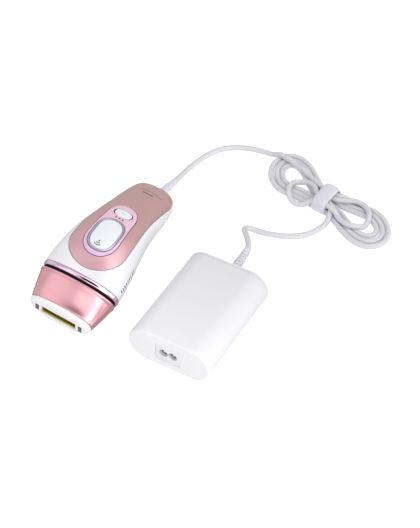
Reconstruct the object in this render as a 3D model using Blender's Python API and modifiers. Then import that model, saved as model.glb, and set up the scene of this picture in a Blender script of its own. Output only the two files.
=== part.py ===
"""Corded IPL hair remover: a handset with a pull-off head, its power adapter and the cord between them.

Sizes are in millimetres and become metres in one place, where meshes are made. The handset has its
own frame: y runs from the treatment face to the tail, z up through the flash button. It lies on its
underside, rolled a little to one side. The adapter lies flat beside it. The world origin is on the
table, under the middle of the handset and adapter together.
"""
import math

import bmesh
import bpy
from mathutils import Matrix, Vector

MM = 0.001
GAP = 0.3                              # clearance between neighbouring pieces

# ---------------------------------------------------------------- placing
HANDSET_AT = (-53.71, -93.18, -0.18)   # world place of the handset frame
HANDSET_ROLL = 8.0                     # degrees, the flash button leans towards the adapter
ADAPTER_AT = (48.72, -87.88, 0.0)      # bottom centre of the adapter's inlet face

# ---------------------------------------------------------------- handset hull
# y of the section's middle, half width, top, bottom, forward lean of the section in degrees
HULL = (
    (0.0, 27.6, 21.5, 2.4, 2.0),
    (3.5, 29.1, 23.2, 1.2, 2.0),
    (30.0, 35.2, 39.5, 1.4, 18.0),
    (35.0, 35.7, 41.8, 1.4, 18.0),
    (55.0, 33.8, 51.2, 2.0, 8.0),
    (75.0, 30.2, 54.5, 2.6, 2.0),
    (95.0, 26.0, 53.5, 2.6, 0.0),
    (115.0, 23.2, 49.8, 1.6, 0.0),
    (133.0, 21.7, 44.6, 0.6, 0.0),
    (148.0, 19.3, 39.1, 2.5, 0.0),
    (153.0, 16.0, 35.5, 5.5, 0.0),
    (156.0, 12.0, 32.0, 9.5, 0.0),
    (157.6, 7.0, 28.0, 13.5, 0.0),
)
WIDEST = 0.62                          # height of the widest point, as a share of the section
HEAD_Y, HANDLE_Y = 30.0, 75.0          # between these the section goes from round to square
UPPER_POWER = (2.2, 2.8)               # superellipse power of the upper half at those two places
LOWER_POWER = (2.4, 2.1)
TAIL_Y = 148.0                         # the end starts to close here
N_AROUND = 32

BODY_STATIONS = (35.3, 42, 52, 63, 75, 88, 102, 117, 131, 142, 149, 153.5, 156.4, 157.6)
PARTING_Z = 20.0                       # joint between lower and upper shell
WALL = 2.0
COVER_THICKNESS = 1.6
SEAT_DEPTH = COVER_THICKNESS + GAP     # the cover's seat, below the hull surface
ROOF_DEPTH = SEAT_DEPTH + WALL         # inside of the upper shell, below the hull surface

# ---------------------------------------------------------------- cover, panel and buttons
COVER_SIDE = ((57, 25.0), (70, 24.7), (84, 23.5), (95, 22.3), (108, 21.4), (123, 20.9), (138, 20.6))
COVER_HEAD, COVER_TAIL = 22.6, 24.0    # lengths of the two rounded ends
COVER_LOW_Z = 31.0
PANEL_SIDE = ((63, 14.6), (89, 12.6))
PANEL_HEAD, PANEL_TAIL = 17.2, 16.3
FLASH_Y = 67.2
FLASH_HALF = (10.5, 15.6)              # button half width and half length
FLASH_RING_WIDTH = 1.6
FLASH_TRAVEL = 1.2
MODE_Y = 94.0
MODE_HALF = (8.4, 4.3)
INDICATOR_Y = 87.6
INDICATOR_X = (-2.9, 0.0, 2.9)
BUTTON_BOARD_Z = 45.0                  # top of the button board
PLUNGER_Z = (47.3, 49.2)

# ---------------------------------------------------------------- head
CAP_Y = (3.8, 29.8)
SEAL_Y = (30.1, 30.8)
RING_Y = (31.1, 35.0)
WINDOW_Z = 12.0
WINDOW_HALF = (16.5, 3.7)
SENSOR_X = 20.75
SENSOR_HALF = (1.85, 2.95)
LAMP_Y, LAMP_Z = 47.0, 14.6
NOZZLE_HALF = (18.6, 5.4)
NOZZLE_OPENING = (16.6, 3.7)

# ---------------------------------------------------------------- handset strain relief
RELIEF_Z = 20.6
RELIEF_PATH = ((151.2, 20.6, 5.6), (152.8, 20.6, 5.6), (152.8, 20.6, 4.1), (158.5, 20.6, 4.1),
               (164.0, 20.1, 3.95), (170.0, 19.0, 3.7), (177.0, 17.2, 3.4), (183.0, 15.5, 3.1),
               (187.0, 14.4, 2.9))     # y, z, radius

# ---------------------------------------------------------------- adapter
ADAPTER_SIZE = (74.2, 100.7, 33.7)
ADAPTER_WALL = 2.2
BACK_CAP = 2.9
INLET_HALF = (11.5, 8.5)
INLET_DEPTH = 15.0
PIN_SPACING = 8.6
SOCKET_R = 3.6
PIN_R = 1.2
SOCKET_DEPTH = 12.5
PIN_TIP_Y = 4.9

# ---------------------------------------------------------------- cord
CORD_R = 2.5
HANDSET_LEAD = ((-51.75, 95.0, 13.9), (-52.5, 99.5, 12.4), (-53.7, 108, 9.4), (-54.7, 117, 6.5),
                (-55.1, 126, 4.4), (-54.5, 135, 3.1), (-52.3, 145, 2.7), (-48.3, 156, 2.7),
                (-41.8, 166, 2.7), (-31.3, 174, 2.7), (-17.3, 178.6, 2.7), (-6.0, 180.4, 2.7),
                (4.5, 180.9, 2.8))
ADAPTER_LEAD = ((85.0, 121.0, 2.7), (83.2, 112.5, 2.7), (78.2, 103, 2.7), (71.2, 96.2, 2.7),
                (62.7, 91, 2.7), (52.7, 87, 2.7), (42.7, 84.8, 2.7), (33.7, 84, 3.0),
                (27.6, 82.4, 4.6), (26.2, 78.6, 7.1), (30.1, 73.0, 9.6), (36.7, 65.5, 12.4),
                (42.4, 57.5, 15.3), (46.1, 51.0, 17.5), (47.7, 47.9, 18.4))
HANK_AT = (73.2, 146.6)
HANK_TURN = -6.4
HANK_Z = (0.3, 14.0)
HANK_OUTLINE = ((-10, 14.5), (-28, 31), (-50, 42), (-66, 35), (-71, 14), (-62, -9), (-40, -23), (-22, -27),
                (-10, -14.5), (10, -14.5), (26, -26), (46, -36), (64, -31), (73, -12), (67, 7),
                (48, 20), (28, 23), (10, 14.5))
STRAP_HALF = (7.0, 15.4)               # half width along the hank, half breadth across it
STRAP_Z = (0.2, 15.6)
STRAP_THICKNESS = 1.3

PART = bpy.data.collections.new("ipl_hair_remover")
CUTTERS = bpy.data.collections.new("cutters")


# ================================================================ tools
def clear_scene():
    for item in list(bpy.data.objects):
        bpy.data.objects.remove(item, do_unlink=True)
    for collection in (PART, CUTTERS):
        bpy.context.scene.collection.children.link(collection)


def frame_empty(name, place, roll):
    empty = bpy.data.objects.new(name, None)
    empty.location = Vector(place) * MM
    empty.rotation_euler = (0, math.radians(roll), 0)
    PART.objects.link(empty)
    return empty


def material(name, colour, roughness, metallic=0.0):
    """One Principled material per name, made at its first use."""
    found = bpy.data.materials.get(name)
    if found:
        return found
    made = bpy.data.materials.new(name)
    made.use_nodes = True
    shader = made.node_tree.nodes["Principled BSDF"]
    shader.inputs["Base Color"].default_value = (*colour, 1)
    shader.inputs["Roughness"].default_value = roughness
    shader.inputs["Metallic"].default_value = metallic
    made.diffuse_color = (*colour, 1)
    return made


def white():
    return material("gloss_white", (0.86, 0.86, 0.88), 0.25)


def rose():
    return material("rose_gold", (0.60, 0.33, 0.31), 0.32, 0.55)


def pink_chrome():
    return material("pink_chrome", (0.72, 0.50, 0.62), 0.08, 1.0)


def grey_plastic():
    return material("grey_plastic", (0.35, 0.36, 0.38), 0.5)


def black():
    return material("black_plastic", (0.03, 0.03, 0.03), 0.45)


def steel():
    return material("steel", (0.62, 0.62, 0.64), 0.28, 1.0)


def gold():
    return material("gold_reflector", (0.83, 0.62, 0.22), 0.22, 1.0)


def board_green():
    return material("circuit_board", (0.05, 0.25, 0.12), 0.5)


def lead_white():
    return material("cord_white", (0.80, 0.80, 0.84), 0.55)


def satin_white():
    return material("satin_white", (0.84, 0.84, 0.87), 0.45)


def add_object(name, mesh, parent, finish, place=(0, 0, 0), smooth=True):
    """An object in millimetres: finish None makes it a cutter."""
    mesh.transform(Matrix.Scale(MM, 4))
    item = bpy.data.objects.new(name, mesh)
    item.location = Vector(place) * MM
    item.parent = parent
    if smooth:
        mesh.shade_smooth()
        mesh.set_sharp_from_angle(angle=math.radians(35))
    if finish is None:
        item.hide_render = True
        item.display_type = "WIRE"
        CUTTERS.objects.link(item)
    else:
        mesh.materials.append(finish)
        PART.objects.link(item)
    return item


def mesh_from(bm, name):
    bmesh.ops.recalc_face_normals(bm, faces=bm.faces)
    mesh = bpy.data.meshes.new(name)
    bm.to_mesh(mesh)
    bm.free()
    return mesh


def boolean(target, tool, operation="DIFFERENCE"):
    cut = target.modifiers.new(operation.lower(), "BOOLEAN")
    cut.operation = operation
    cut.object = tool
    return target


def box(name, half, centre, parent, finish, bevel=0.0):
    bm = bmesh.new()
    bmesh.ops.create_cube(bm, size=2.0, matrix=Matrix.Diagonal((*half, 1)))
    item = add_object(name, mesh_from(bm, name), parent, finish, centre, smooth=bevel > 0)
    if bevel:
        rounding = item.modifiers.new("rounding", "BEVEL")
        rounding.width = bevel * MM
        rounding.segments = 2
    return item


def cylinder(name, radius, low, high, axis, parent, finish, segments=20):
    """A cylinder along x, y or z from point low to point high."""
    low, high = Vector(low), Vector(high)
    turn = {"x": Matrix.Rotation(math.pi / 2, 4, "Y"), "y": Matrix.Rotation(math.pi / 2, 4, "X"),
            "z": Matrix.Identity(4)}[axis]
    bm = bmesh.new()
    bmesh.ops.create_cone(bm, cap_ends=True, segments=segments, radius1=radius, radius2=radius,
                          depth=(high - low).length, matrix=turn)
    return add_object(name, mesh_from(bm, name), parent, finish, (low + high) / 2)


def loft(name, rings, parent, finish):
    """A closed solid through rings of equally many points."""
    bm = bmesh.new()
    rows = [[bm.verts.new(point) for point in ring] for ring in rings]
    count = len(rows[0])
    for low, high in zip(rows, rows[1:]):
        for k in range(count):
            bm.faces.new((low[k], low[(k + 1) % count], high[(k + 1) % count], high[k]))
    bm.faces.new(rows[0])
    bm.faces.new(rows[-1])
    return add_object(name, mesh_from(bm, name), parent, finish)


def plate(name, outlines, low, high, parent, finish):
    """A flat outline, with holes where there is more than one, from z low to z high."""
    curve = bpy.data.curves.new(name, "CURVE")
    curve.dimensions = "2D"
    curve.fill_mode = "BOTH"
    curve.extrude = (high - low) / 2
    for outline in outlines:
        spline = curve.splines.new("POLY")
        spline.points.add(len(outline) - 1)
        for point, (x, y) in zip(spline.points, outline):
            point.co = (x, y, 0, 1)
        spline.use_cyclic_u = True
    mesh = mesh_of_curve(curve)
    mesh.transform(Matrix.Translation((0, 0, (low + high) / 2)))
    return add_object(name, mesh, parent, finish)


def mesh_of_curve(curve):
    """The curve's own surface as a welded mesh; the curve is not kept."""
    holder = bpy.data.objects.new("holder", curve)
    bpy.context.scene.collection.objects.link(holder)
    graph = bpy.context.evaluated_depsgraph_get()
    mesh = bpy.data.meshes.new_from_object(holder.evaluated_get(graph))
    bpy.data.objects.remove(holder, do_unlink=True)
    bm = bmesh.new()
    bm.from_mesh(mesh)
    bmesh.ops.remove_doubles(bm, verts=bm.verts, dist=0.001)
    bmesh.ops.recalc_face_normals(bm, faces=bm.faces)
    bm.to_mesh(mesh)
    bm.free()
    return mesh


def monotone(track, x):
    """Smooth value at x through (x, value) pairs, with no overshoot between them."""
    if x <= track[0][0]:
        return track[0][1]
    if x >= track[-1][0]:
        return track[-1][1]
    slopes = [(b[1] - a[1]) / (b[0] - a[0]) for a, b in zip(track, track[1:])]
    tangents = [slopes[0]]
    for before, after in zip(slopes, slopes[1:]):
        tangents.append(0.0 if before * after <= 0 else 2 * before * after / (before + after))
    tangents.append(slopes[-1])
    k = next(i for i in range(len(slopes)) if x <= track[i + 1][0])
    span = track[k + 1][0] - track[k][0]
    t = (x - track[k][0]) / span
    start, end = track[k][1], track[k + 1][1]
    return ((1 + 2 * t) * (1 - t) ** 2 * start + t * (1 - t) ** 2 * span * tangents[k]
            + t * t * (3 - 2 * t) * end + t * t * (t - 1) * span * tangents[k + 1])


def smooth_path(points, step, closed=False):
    """Points about a step apart on a Catmull-Rom curve through the given points."""
    points = [Vector(point) for point in points]
    count = len(points)
    path = []
    for k in range(count if closed else count - 1):
        before = points[k - 1] if closed or k else points[k]
        start, end = points[k], points[(k + 1) % count]
        after = points[(k + 2) % count] if closed or k + 2 < count else end
        parts = max(1, round((end - start).length / step))
        for i in range(parts):
            t = i / parts
            path.append(0.5 * (2 * start + (end - before) * t
                               + (2 * before - 5 * start + 4 * end - after) * t * t
                               + (3 * start - before - 3 * end + after) * t ** 3))
    return path if closed else path + [points[-1]]


def signed_power(value, power):
    return math.copysign(abs(value) ** power, value)


def hull_ring(y, inset):
    """One section of the handset's hull, moved inwards by inset."""
    half, top, bottom, lean = (monotone([(row[0], row[i]) for row in HULL], y) for i in (1, 2, 3, 4))
    half, top, bottom = half - inset, top - inset, bottom + inset
    share = min(1.0, max(0.0, (y - HEAD_Y) / (HANDLE_Y - HEAD_Y)))
    upper = UPPER_POWER[0] + share * (UPPER_POWER[1] - UPPER_POWER[0])
    lower = LOWER_POWER[0] + share * (LOWER_POWER[1] - LOWER_POWER[0])
    tail = min(1.0, max(0.0, (y - TAIL_Y) / (HULL[-1][0] - TAIL_Y)))
    middle = (top + bottom) / 2
    widest = bottom + WIDEST * (top - bottom)
    lean = math.radians(lean)
    ring = []
    for k in range(N_AROUND):
        angle = 2 * math.pi * k / N_AROUND
        power = 2 / (upper if math.sin(angle) >= 0 else lower)
        x = half * signed_power(math.cos(angle), power)
        reach = top - widest if math.sin(angle) >= 0 else widest - bottom
        up = widest + reach * signed_power(math.sin(angle), power) - middle
        ring.append((x, y - inset * tail - math.sin(lean) * up, middle + math.cos(lean) * up))
    return ring


def hull_loft(name, stations, parent, finish):
    """A loft of the hull through (y, inset) pairs."""
    return loft(name, [hull_ring(y, inset) for y, inset in stations], parent, finish)


def body_hull(name, inset, parent, start=BODY_STATIONS[0]):
    stations = [(start, inset)] + [(y, inset) for y in BODY_STATIONS[1:]]
    return hull_loft(name, stations, parent, None)


def long_outline(side, head_length, tail_length, grow=0.0, per_end=9):
    """Outline of a long rounded shape: an elliptic head end, curved sides and an elliptic tail end."""
    right = []
    for k in range(per_end + 1):
        angle = math.pi / 2 * k / per_end
        right.append(((side[0][1] + grow) * math.sin(angle),
                      side[0][0] - (head_length + grow) * math.cos(angle)))
    first, last = side[0][0], side[-1][0]
    parts = max(1, round((last - first) / 14)) if len(side) > 2 else 1
    for k in range(1, parts):
        y = first + (last - first) * k / parts
        right.append((monotone(side, y) + grow, y))
    for k in range(per_end + 1):
        angle = math.pi / 2 * k / per_end
        right.append(((side[-1][1] + grow) * math.cos(angle),
                      side[-1][0] + (tail_length + grow) * math.sin(angle)))
    return right + [(-x, y) for x, y in reversed(right[1:-1])]


def cover_outline(grow=0.0):
    return long_outline(COVER_SIDE, COVER_HEAD, COVER_TAIL, grow)


def panel_outline(grow=0.0):
    return long_outline(PANEL_SIDE, PANEL_HEAD, PANEL_TAIL, grow, per_end=8)


def flash_outline(grow=0.0):
    half, length = FLASH_HALF
    straight = length - 11.5
    side = ((FLASH_Y - straight, half), (FLASH_Y + straight, half))
    return long_outline(side, 11.5, 11.5, grow, per_end=8)


def mode_outline(grow=0.0, count=24):
    return [((MODE_HALF[0] + grow) * math.cos(2 * math.pi * k / count),
             MODE_Y + (MODE_HALF[1] + grow) * math.sin(2 * math.pi * k / count)) for k in range(count)]


def skin_piece(name, outlines, low_z, top_inset, bottom_inset, parent, finish):
    """The part of the hull's skin, between two depths, that lies inside an outline seen from above."""
    piece = plate(name, outlines, low_z, 70, parent, finish)
    boolean(piece, body_hull(name + "_top", top_inset, parent, start=33), "INTERSECT")
    boolean(piece, body_hull(name + "_bottom", bottom_inset, parent, start=30))
    return piece


# ================================================================ handset shells
def screw_places():
    return ((-19.0, 58.0, 15.0), (19.0, 58.0, 15.0), (0.0, 145.6, 12.0))


def boss(name, x, y, low, high, parent, radius=3.5):
    """A screw boss, trimmed to the inside of the hull's outer surface."""
    post = cylinder(name, radius, (x, y, low), (x, y, high), "z", parent, None, 12)
    boolean(post, body_hull(name + "_limit", 0.6, parent), "INTERSECT")
    return post


def side_vents(parent, side):
    """Cutter for the row of slots in one side, behind the head ring."""
    slots = []
    for k in range(9):
        y, z = 38.8 + 2.66 * k, 31.1 + 0.55 * k
        slots.append([(y + across - 0.22 * up, z + up)
                      for across, up in ((-0.65, -2.4), (0.65, -2.4), (0.65, 2.4), (-0.65, 2.4))])
    cutter = plate(f"vents_{side}", slots, -8, 8, parent, None)
    cutter.location = (34 * side * MM, 0, 0)
    cutter.rotation_euler = (math.pi / 2, 0, math.pi / 2)
    return cutter


def shells(handset):
    outer = body_hull("hull_outer", 0.0, handset)
    cavity = body_hull("hull_cavity", WALL, handset, start=30)
    relief_hole = cylinder("relief_hole", 4.6, (0, 149, RELIEF_Z), (0, 162, RELIEF_Z), "y", handset, None)

    lower = box("lower_shell", (60, 100, 40), (0, 90, PARTING_Z - GAP / 2 - 40), handset, white())
    boolean(lower, outer, "INTERSECT")
    boolean(lower, cavity)
    for k, (x, y, head_z) in enumerate(screw_places()):
        boolean(lower, boss(f"lower_boss_{k}", x, y, 0, PARTING_Z - GAP / 2, handset), "UNION")
        boolean(lower, cylinder(f"screw_head_hole_{k}", 2.7, (x, y, -2), (x, y, head_z), "z", handset, None))
        boolean(lower, cylinder(f"screw_hole_{k}", 1.7, (x, y, 0), (x, y, 30), "z", handset, None, 12))
    boolean(lower, relief_hole)

    upper = box("upper_shell", (60, 100, 40), (0, 90, PARTING_Z + GAP / 2 + 40), handset, white())
    boolean(upper, outer, "INTERSECT")
    boolean(upper, body_hull("roof_cavity", ROOF_DEPTH, handset, start=30))
    for k, (x, y, _) in enumerate(screw_places()):
        boolean(upper, boss(f"upper_boss_{k}", x, y, PARTING_Z + GAP / 2, 60, handset), "UNION")
        boolean(upper, cylinder(f"screw_pilot_{k}", 1.6, (x, y, 15), (x, y, 29), "z", handset, None, 12))
    seat = plate("cover_seat", [cover_outline(GAP)], COVER_LOW_Z - GAP, 70, handset, None)
    boolean(seat, body_hull("cover_floor", SEAT_DEPTH, handset, start=30))
    boolean(upper, seat)
    boolean(upper, relief_hole)
    boolean(upper, cylinder("flash_stem_hole", 3.6, (0, FLASH_Y, 42), (0, FLASH_Y, 60), "z", handset, None))
    boolean(upper, cylinder("mode_stem_hole", 2.3, (0, MODE_Y, 42), (0, MODE_Y, 60), "z", handset, None, 16))
    for x in INDICATOR_X:
        hole = cylinder("indicator_hole", 1.0, (x, INDICATOR_Y, 42), (x, INDICATOR_Y, 60), "z", handset, None, 12)
        boolean(upper, hole)
    for side in (-1, 1):
        boolean(upper, side_vents(handset, side))

    for k, (x, y, head_z) in enumerate(screw_places()):
        shaft = cylinder(f"shell_screw_{k + 1}", 1.3, (x, y, head_z - 2.4), (x, y, 26), "z", handset, steel(), 12)
        head = cylinder(f"screw_head_{k}", 2.35, (x, y, head_z - 2.4), (x, y, head_z - GAP), "z", handset, None, 16)
        boolean(shaft, head, "UNION")
        boolean(shaft, box(f"screw_slot_{k}", (0.4, 1.6, 0.5), (x, y, head_z - 2.4), handset, None))


def controls(handset):
    """Rose cover, pink panel, the two buttons, the ring around the larger and the indicator lights."""
    cover = skin_piece("top_cover", [cover_outline(), panel_outline(GAP)], COVER_LOW_Z, 0.0,
                       COVER_THICKNESS, handset, rose())
    cover.data.name = "top_cover"
    panel_holes = [flash_outline(FLASH_RING_WIDTH + 2 * GAP), mode_outline(GAP)]
    panel = skin_piece("control_panel", [panel_outline(), *panel_holes], 45, -0.15, COVER_THICKNESS,
                       handset, material("panel_pink", (0.86, 0.60, 0.70), 0.35))
    for x in INDICATOR_X:
        hole = cylinder("panel_light_hole", 0.85, (x, INDICATOR_Y, 45), (x, INDICATOR_Y, 60), "z", handset, None, 12)
        boolean(panel, hole)
    ring_outlines = [flash_outline(FLASH_RING_WIDTH + GAP), flash_outline(GAP)]
    skin_piece("flash_button_ring", ring_outlines, 45, -0.7, COVER_THICKNESS, handset, pink_chrome())

    button_base = 0.6
    flash = skin_piece("flash_button", [flash_outline()], 45, -1.0, button_base, handset, white())
    stem = cylinder("flash_stem", 3.0, (0, FLASH_Y, PLUNGER_Z[1] + GAP), (0, FLASH_Y, 53.5), "z", handset, None)
    boolean(flash, stem, "UNION")
    mode = skin_piece("mode_button", [mode_outline()], 45, -0.7, button_base, handset, white())
    stem = cylinder("mode_stem", 1.8, (0, MODE_Y, PLUNGER_Z[1] + GAP), (0, MODE_Y, 53.5), "z", handset, None, 16)
    boolean(mode, stem, "UNION")

    lens = material("indicator_lens", (0.30, 0.28, 0.30), 0.2)
    for k, x in enumerate(INDICATOR_X):
        cylinder(f"indicator_light_{k + 1}", 0.6, (x, INDICATOR_Y, BUTTON_BOARD_Z + GAP), (x, INDICATOR_Y, 54.0),
                 "z", handset, lens, 10)

    box("button_board", (10.5, 20.0, 0.6), (0, 80.8, BUTTON_BOARD_Z - 0.6), handset, board_green())
    for name, y in (("flash", FLASH_Y), ("mode", MODE_Y)):
        switch = box(f"{name}_switch", (3.0, 3.0, 1.3), (0, y, BUTTON_BOARD_Z + GAP + 1.3), handset, black())
        boolean(switch, cylinder(f"{name}_bore", 1.8, (0, y, 45.9), (0, y, 50), "z", handset, None, 16))
        cylinder(f"{name}_plunger", 1.4, (0, y, PLUNGER_Z[0]), (0, y, PLUNGER_Z[1]), "z", handset,
                 grey_plastic(), 14)


def head(handset):
    """Pull-off head: cap, white treatment face, window frame and skin sensors; and what it plugs onto."""
    cap_stations = (3.8, 11, 19, 26.6)
    cap = hull_loft("head_cap", [(y, 0.0) for y in cap_stations] + [(27.6, -0.5), (29.3, -0.5), (29.8, 0.0)],
                    handset, rose())
    boolean(cap, hull_loft("cap_cavity", [(y, 1.8) for y in (2, 3.5, 7.2, 11, 19, 31.5)], handset, None))

    face = hull_loft("treatment_face", [(-0.4, 2.6), (0.0, 1.3), (0.9, 0.3), (3.5, 0.0), (3.5, 2.1), (7.0, 2.1)],
                     handset, white())
    boolean(face, hull_loft("face_hollow", [(4.8, 4.2), (8.0, 4.2)], handset, None))
    boolean(face, box("window_hole", (WINDOW_HALF[0], 6, WINDOW_HALF[1]), (0, 0, WINDOW_Z), handset, None))
    boolean(face, box("frame_pocket", (18.0, 5, 5.2), (0, 2.6 + 5, WINDOW_Z), handset, None))

    frame = box("window_frame", (17.7, 8.5, 4.9), (0, 11.4, WINDOW_Z), handset, gold())
    boolean(frame, box("frame_hole", (WINDOW_HALF[0], 12, WINDOW_HALF[1]), (0, 11.4, WINDOW_Z), handset, None))

    for name, side in (("left", -1), ("right", 1)):
        place = (side * SENSOR_X, 3.0, WINDOW_Z)
        half = (SENSOR_HALF[0], 3.6, SENSOR_HALF[1])
        box(f"skin_sensor_{name}", half, place, handset, material("sensor_grey", (0.16, 0.17, 0.19), 0.4), 0.3)
        pocket = (half[0] + GAP, 8, half[2] + GAP)
        boolean(face, box(f"sensor_pocket_{name}", pocket, place, handset, None))

    bore = hull_loft("head_bore", [(y, 2.7) for y in (28, 31, 37)], handset, None)
    seal = hull_loft("head_seal", [(y, 1.3) for y in SEAL_Y], handset, black())
    boolean(seal, bore)
    ring = hull_loft("head_ring", [(RING_Y[0], 0.3), (31.5, 0.0), (34.6, 0.0), (RING_Y[1], 0.3)],
                     handset, pink_chrome())
    boolean(ring, bore)

    nozzle = hull_loft("lamp_nozzle", [(y, 4.7) for y in (33.2, 36.4)], handset, grey_plastic())
    spout = box("nozzle_spout", (NOZZLE_HALF[0], 9.75, NOZZLE_HALF[1]), (0, 31.75, LAMP_Z), handset, None)
    boolean(nozzle, spout, "UNION")
    hole = box("nozzle_hole", (NOZZLE_OPENING[0], 15, NOZZLE_OPENING[1]), (0, 31.75, LAMP_Z), handset, None)
    boolean(nozzle, hole)
    box("filter_glass", (NOZZLE_OPENING[0] - GAP, 1.0, NOZZLE_OPENING[1] - GAP), (0, 24.0, LAMP_Z), handset,
        material("filter_glass", (0.85, 0.55, 0.20), 0.05))


def trough_ring(x, outer, inner, depth, mouth_y):
    """Section of the lamp reflector at x: a parabola open towards the window, with a wall."""
    ring = []
    for half, back in ((outer, depth + 0.9), (inner, depth)):
        row = []
        for k in range(13):
            share = -1 + 2 * k / 12
            row.append((x, mouth_y + back * (1 - share * share), LAMP_Z + half * share))
        ring += row if half == outer else row[::-1]
    return ring


def lamp(handset):
    loft("lamp_reflector", [trough_ring(x, 6.6, 5.6, 9.2, 42.0) for x in (-17.5, 17.5)], handset,
         material("polished_aluminium", (0.85, 0.86, 0.88), 0.12, 1.0))
    cylinder("flash_lamp", 2.2, (-22.6, LAMP_Y, LAMP_Z), (22.6, LAMP_Y, LAMP_Z), "x", handset,
             material("lamp_glass", (0.80, 0.85, 0.90), 0.03), 20)
    for name, side in (("left", -1), ("right", 1)):
        x, y = side * 20.5, LAMP_Y
        holder = box(f"lamp_holder_{name}", (2.5, 4.0, 3.9), (x, y, LAMP_Z), handset,
                     material("ceramic_white", (0.80, 0.79, 0.74), 0.7))
        boolean(holder, cylinder(f"lamp_seat_{name}", 2.5, (x - 5, y, LAMP_Z), (x + 5, y, LAMP_Z), "x", handset, None))
    comb = []
    for k in range(7):
        x = -13.5 + 4.5 * k
        comb += [(x - 0.8, 61.5), (x + 0.8, 61.5)]
        if k < 6:
            comb += [(x + 0.8, 56.0), (x + 3.7, 56.0)]
    plate("heat_sink", [[(-14.3, 54.0), *comb, (14.3, 54.0)]], 8.4, 18.6, handset, steel())
    coil = cylinder("trigger_coil", 3.8, (-6, 83.6, 29.0), (6, 83.6, 29.0), "x", handset,
                    material("copper_winding", (0.72, 0.35, 0.15), 0.35, 1.0))
    boolean(coil, cylinder("coil_core_hole", 1.4, (-8, 83.6, 29.0), (8, 83.6, 29.0), "x", handset, None, 12))


def rotor_blade(angle, centre):
    """A flat blade set at a slant, from the hub out to the tip."""
    blade = Matrix.Translation(centre) @ Matrix.Rotation(angle, 4, "Z") @ Matrix.Translation((8.4, 0, 0))
    return blade @ Matrix.Rotation(math.radians(38), 4, "X") @ Matrix.Diagonal((4.2, 2.9, 0.45, 1))


def cooling(handset):
    """Fan under the handle, blowing towards the lamp's heat sink and the side vents."""
    x, y, z = 0.0, 77.6, 16.0
    frame = box("fan_frame", (15.0, 15.0, 4.5), (x, y, z), handset, black())
    boolean(frame, cylinder("fan_throat", 13.8, (x, y, z - 3.2), (x, y, z + 9), "z", handset, None, 32))
    for k in range(3):
        angle = math.radians(30 + 120 * k)
        window = [(x + r * math.cos(angle + side * spread), y + r * math.sin(angle + side * spread))
                  for r, side, spread in ((6, -1, 0.8), (13, -1, 0.92), (13.2, 0, 0), (13, 1, 0.92), (6, 1, 0.8))]
        boolean(frame, plate(f"fan_window_{k}", [window], z - 9, z - 2, handset, None))
    rotor = cylinder("fan_rotor", 5.2, (0, 0, -2.4), (0, 0, 3.9), "z", handset, grey_plastic(), 24)
    rotor.location = Vector((x, y, z)) * MM
    rotor.data.transform(Matrix.Translation((0, 0, 0.75 * MM)))
    for k in range(7):
        bm = bmesh.new()
        bmesh.ops.create_cube(bm, size=2.0, matrix=rotor_blade(2 * math.pi * k / 7, (x, y, z + 0.75)))
        boolean(rotor, add_object(f"blade_{k}", mesh_from(bm, "blade"), handset, None, smooth=False), "UNION")


def electronics(handset):
    cylinder("flash_capacitor", 9.5, (0, 94.5, 18.5), (0, 139.0, 18.5), "y", handset,
             material("capacitor_sleeve", (0.05, 0.07, 0.16), 0.35), 28)
    board = box("main_board", (14.5, 21.5, 0.8), (0, 110.5, 34.6), handset, board_green())
    boolean(board, cylinder("board_hole", 1.6, (11, 92.5, 30), (11, 92.5, 40), "z", handset, None, 12))
    box("control_chip", (4.0, 4.0, 0.8), (-4.0, 108.0, 36.5), handset, black())
    relief(handset)


def relief(handset):
    """Tapered strain relief, clamped by its flange between the shells at the tail."""
    loft("handset_strain_relief", [
        [(radius * math.cos(2 * math.pi * k / 16), y, z + radius * math.sin(2 * math.pi * k / 16)) for k in range(16)]
        for y, z, radius in RELIEF_PATH], handset, lead_white())


# ================================================================ adapter
def stadium(y, inset, per_end=12):
    """Section of the adapter: flat above and below, round at both sides."""
    width, _, height = ADAPTER_SIZE
    radius = height / 2 - inset
    ring = []
    for side in (1, -1):
        for k in range(per_end + 1):
            angle = -math.pi / 2 * side + side * math.pi * k / per_end
            x = side * (width / 2 - height / 2) + side * radius * abs(math.cos(angle))
            ring.append((x, y, height / 2 + radius * math.sin(angle)))
    return ring


def adapter_loft(name, stations, parent, finish):
    return loft(name, [stadium(y, inset) for y, inset in stations], parent, finish)


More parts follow.
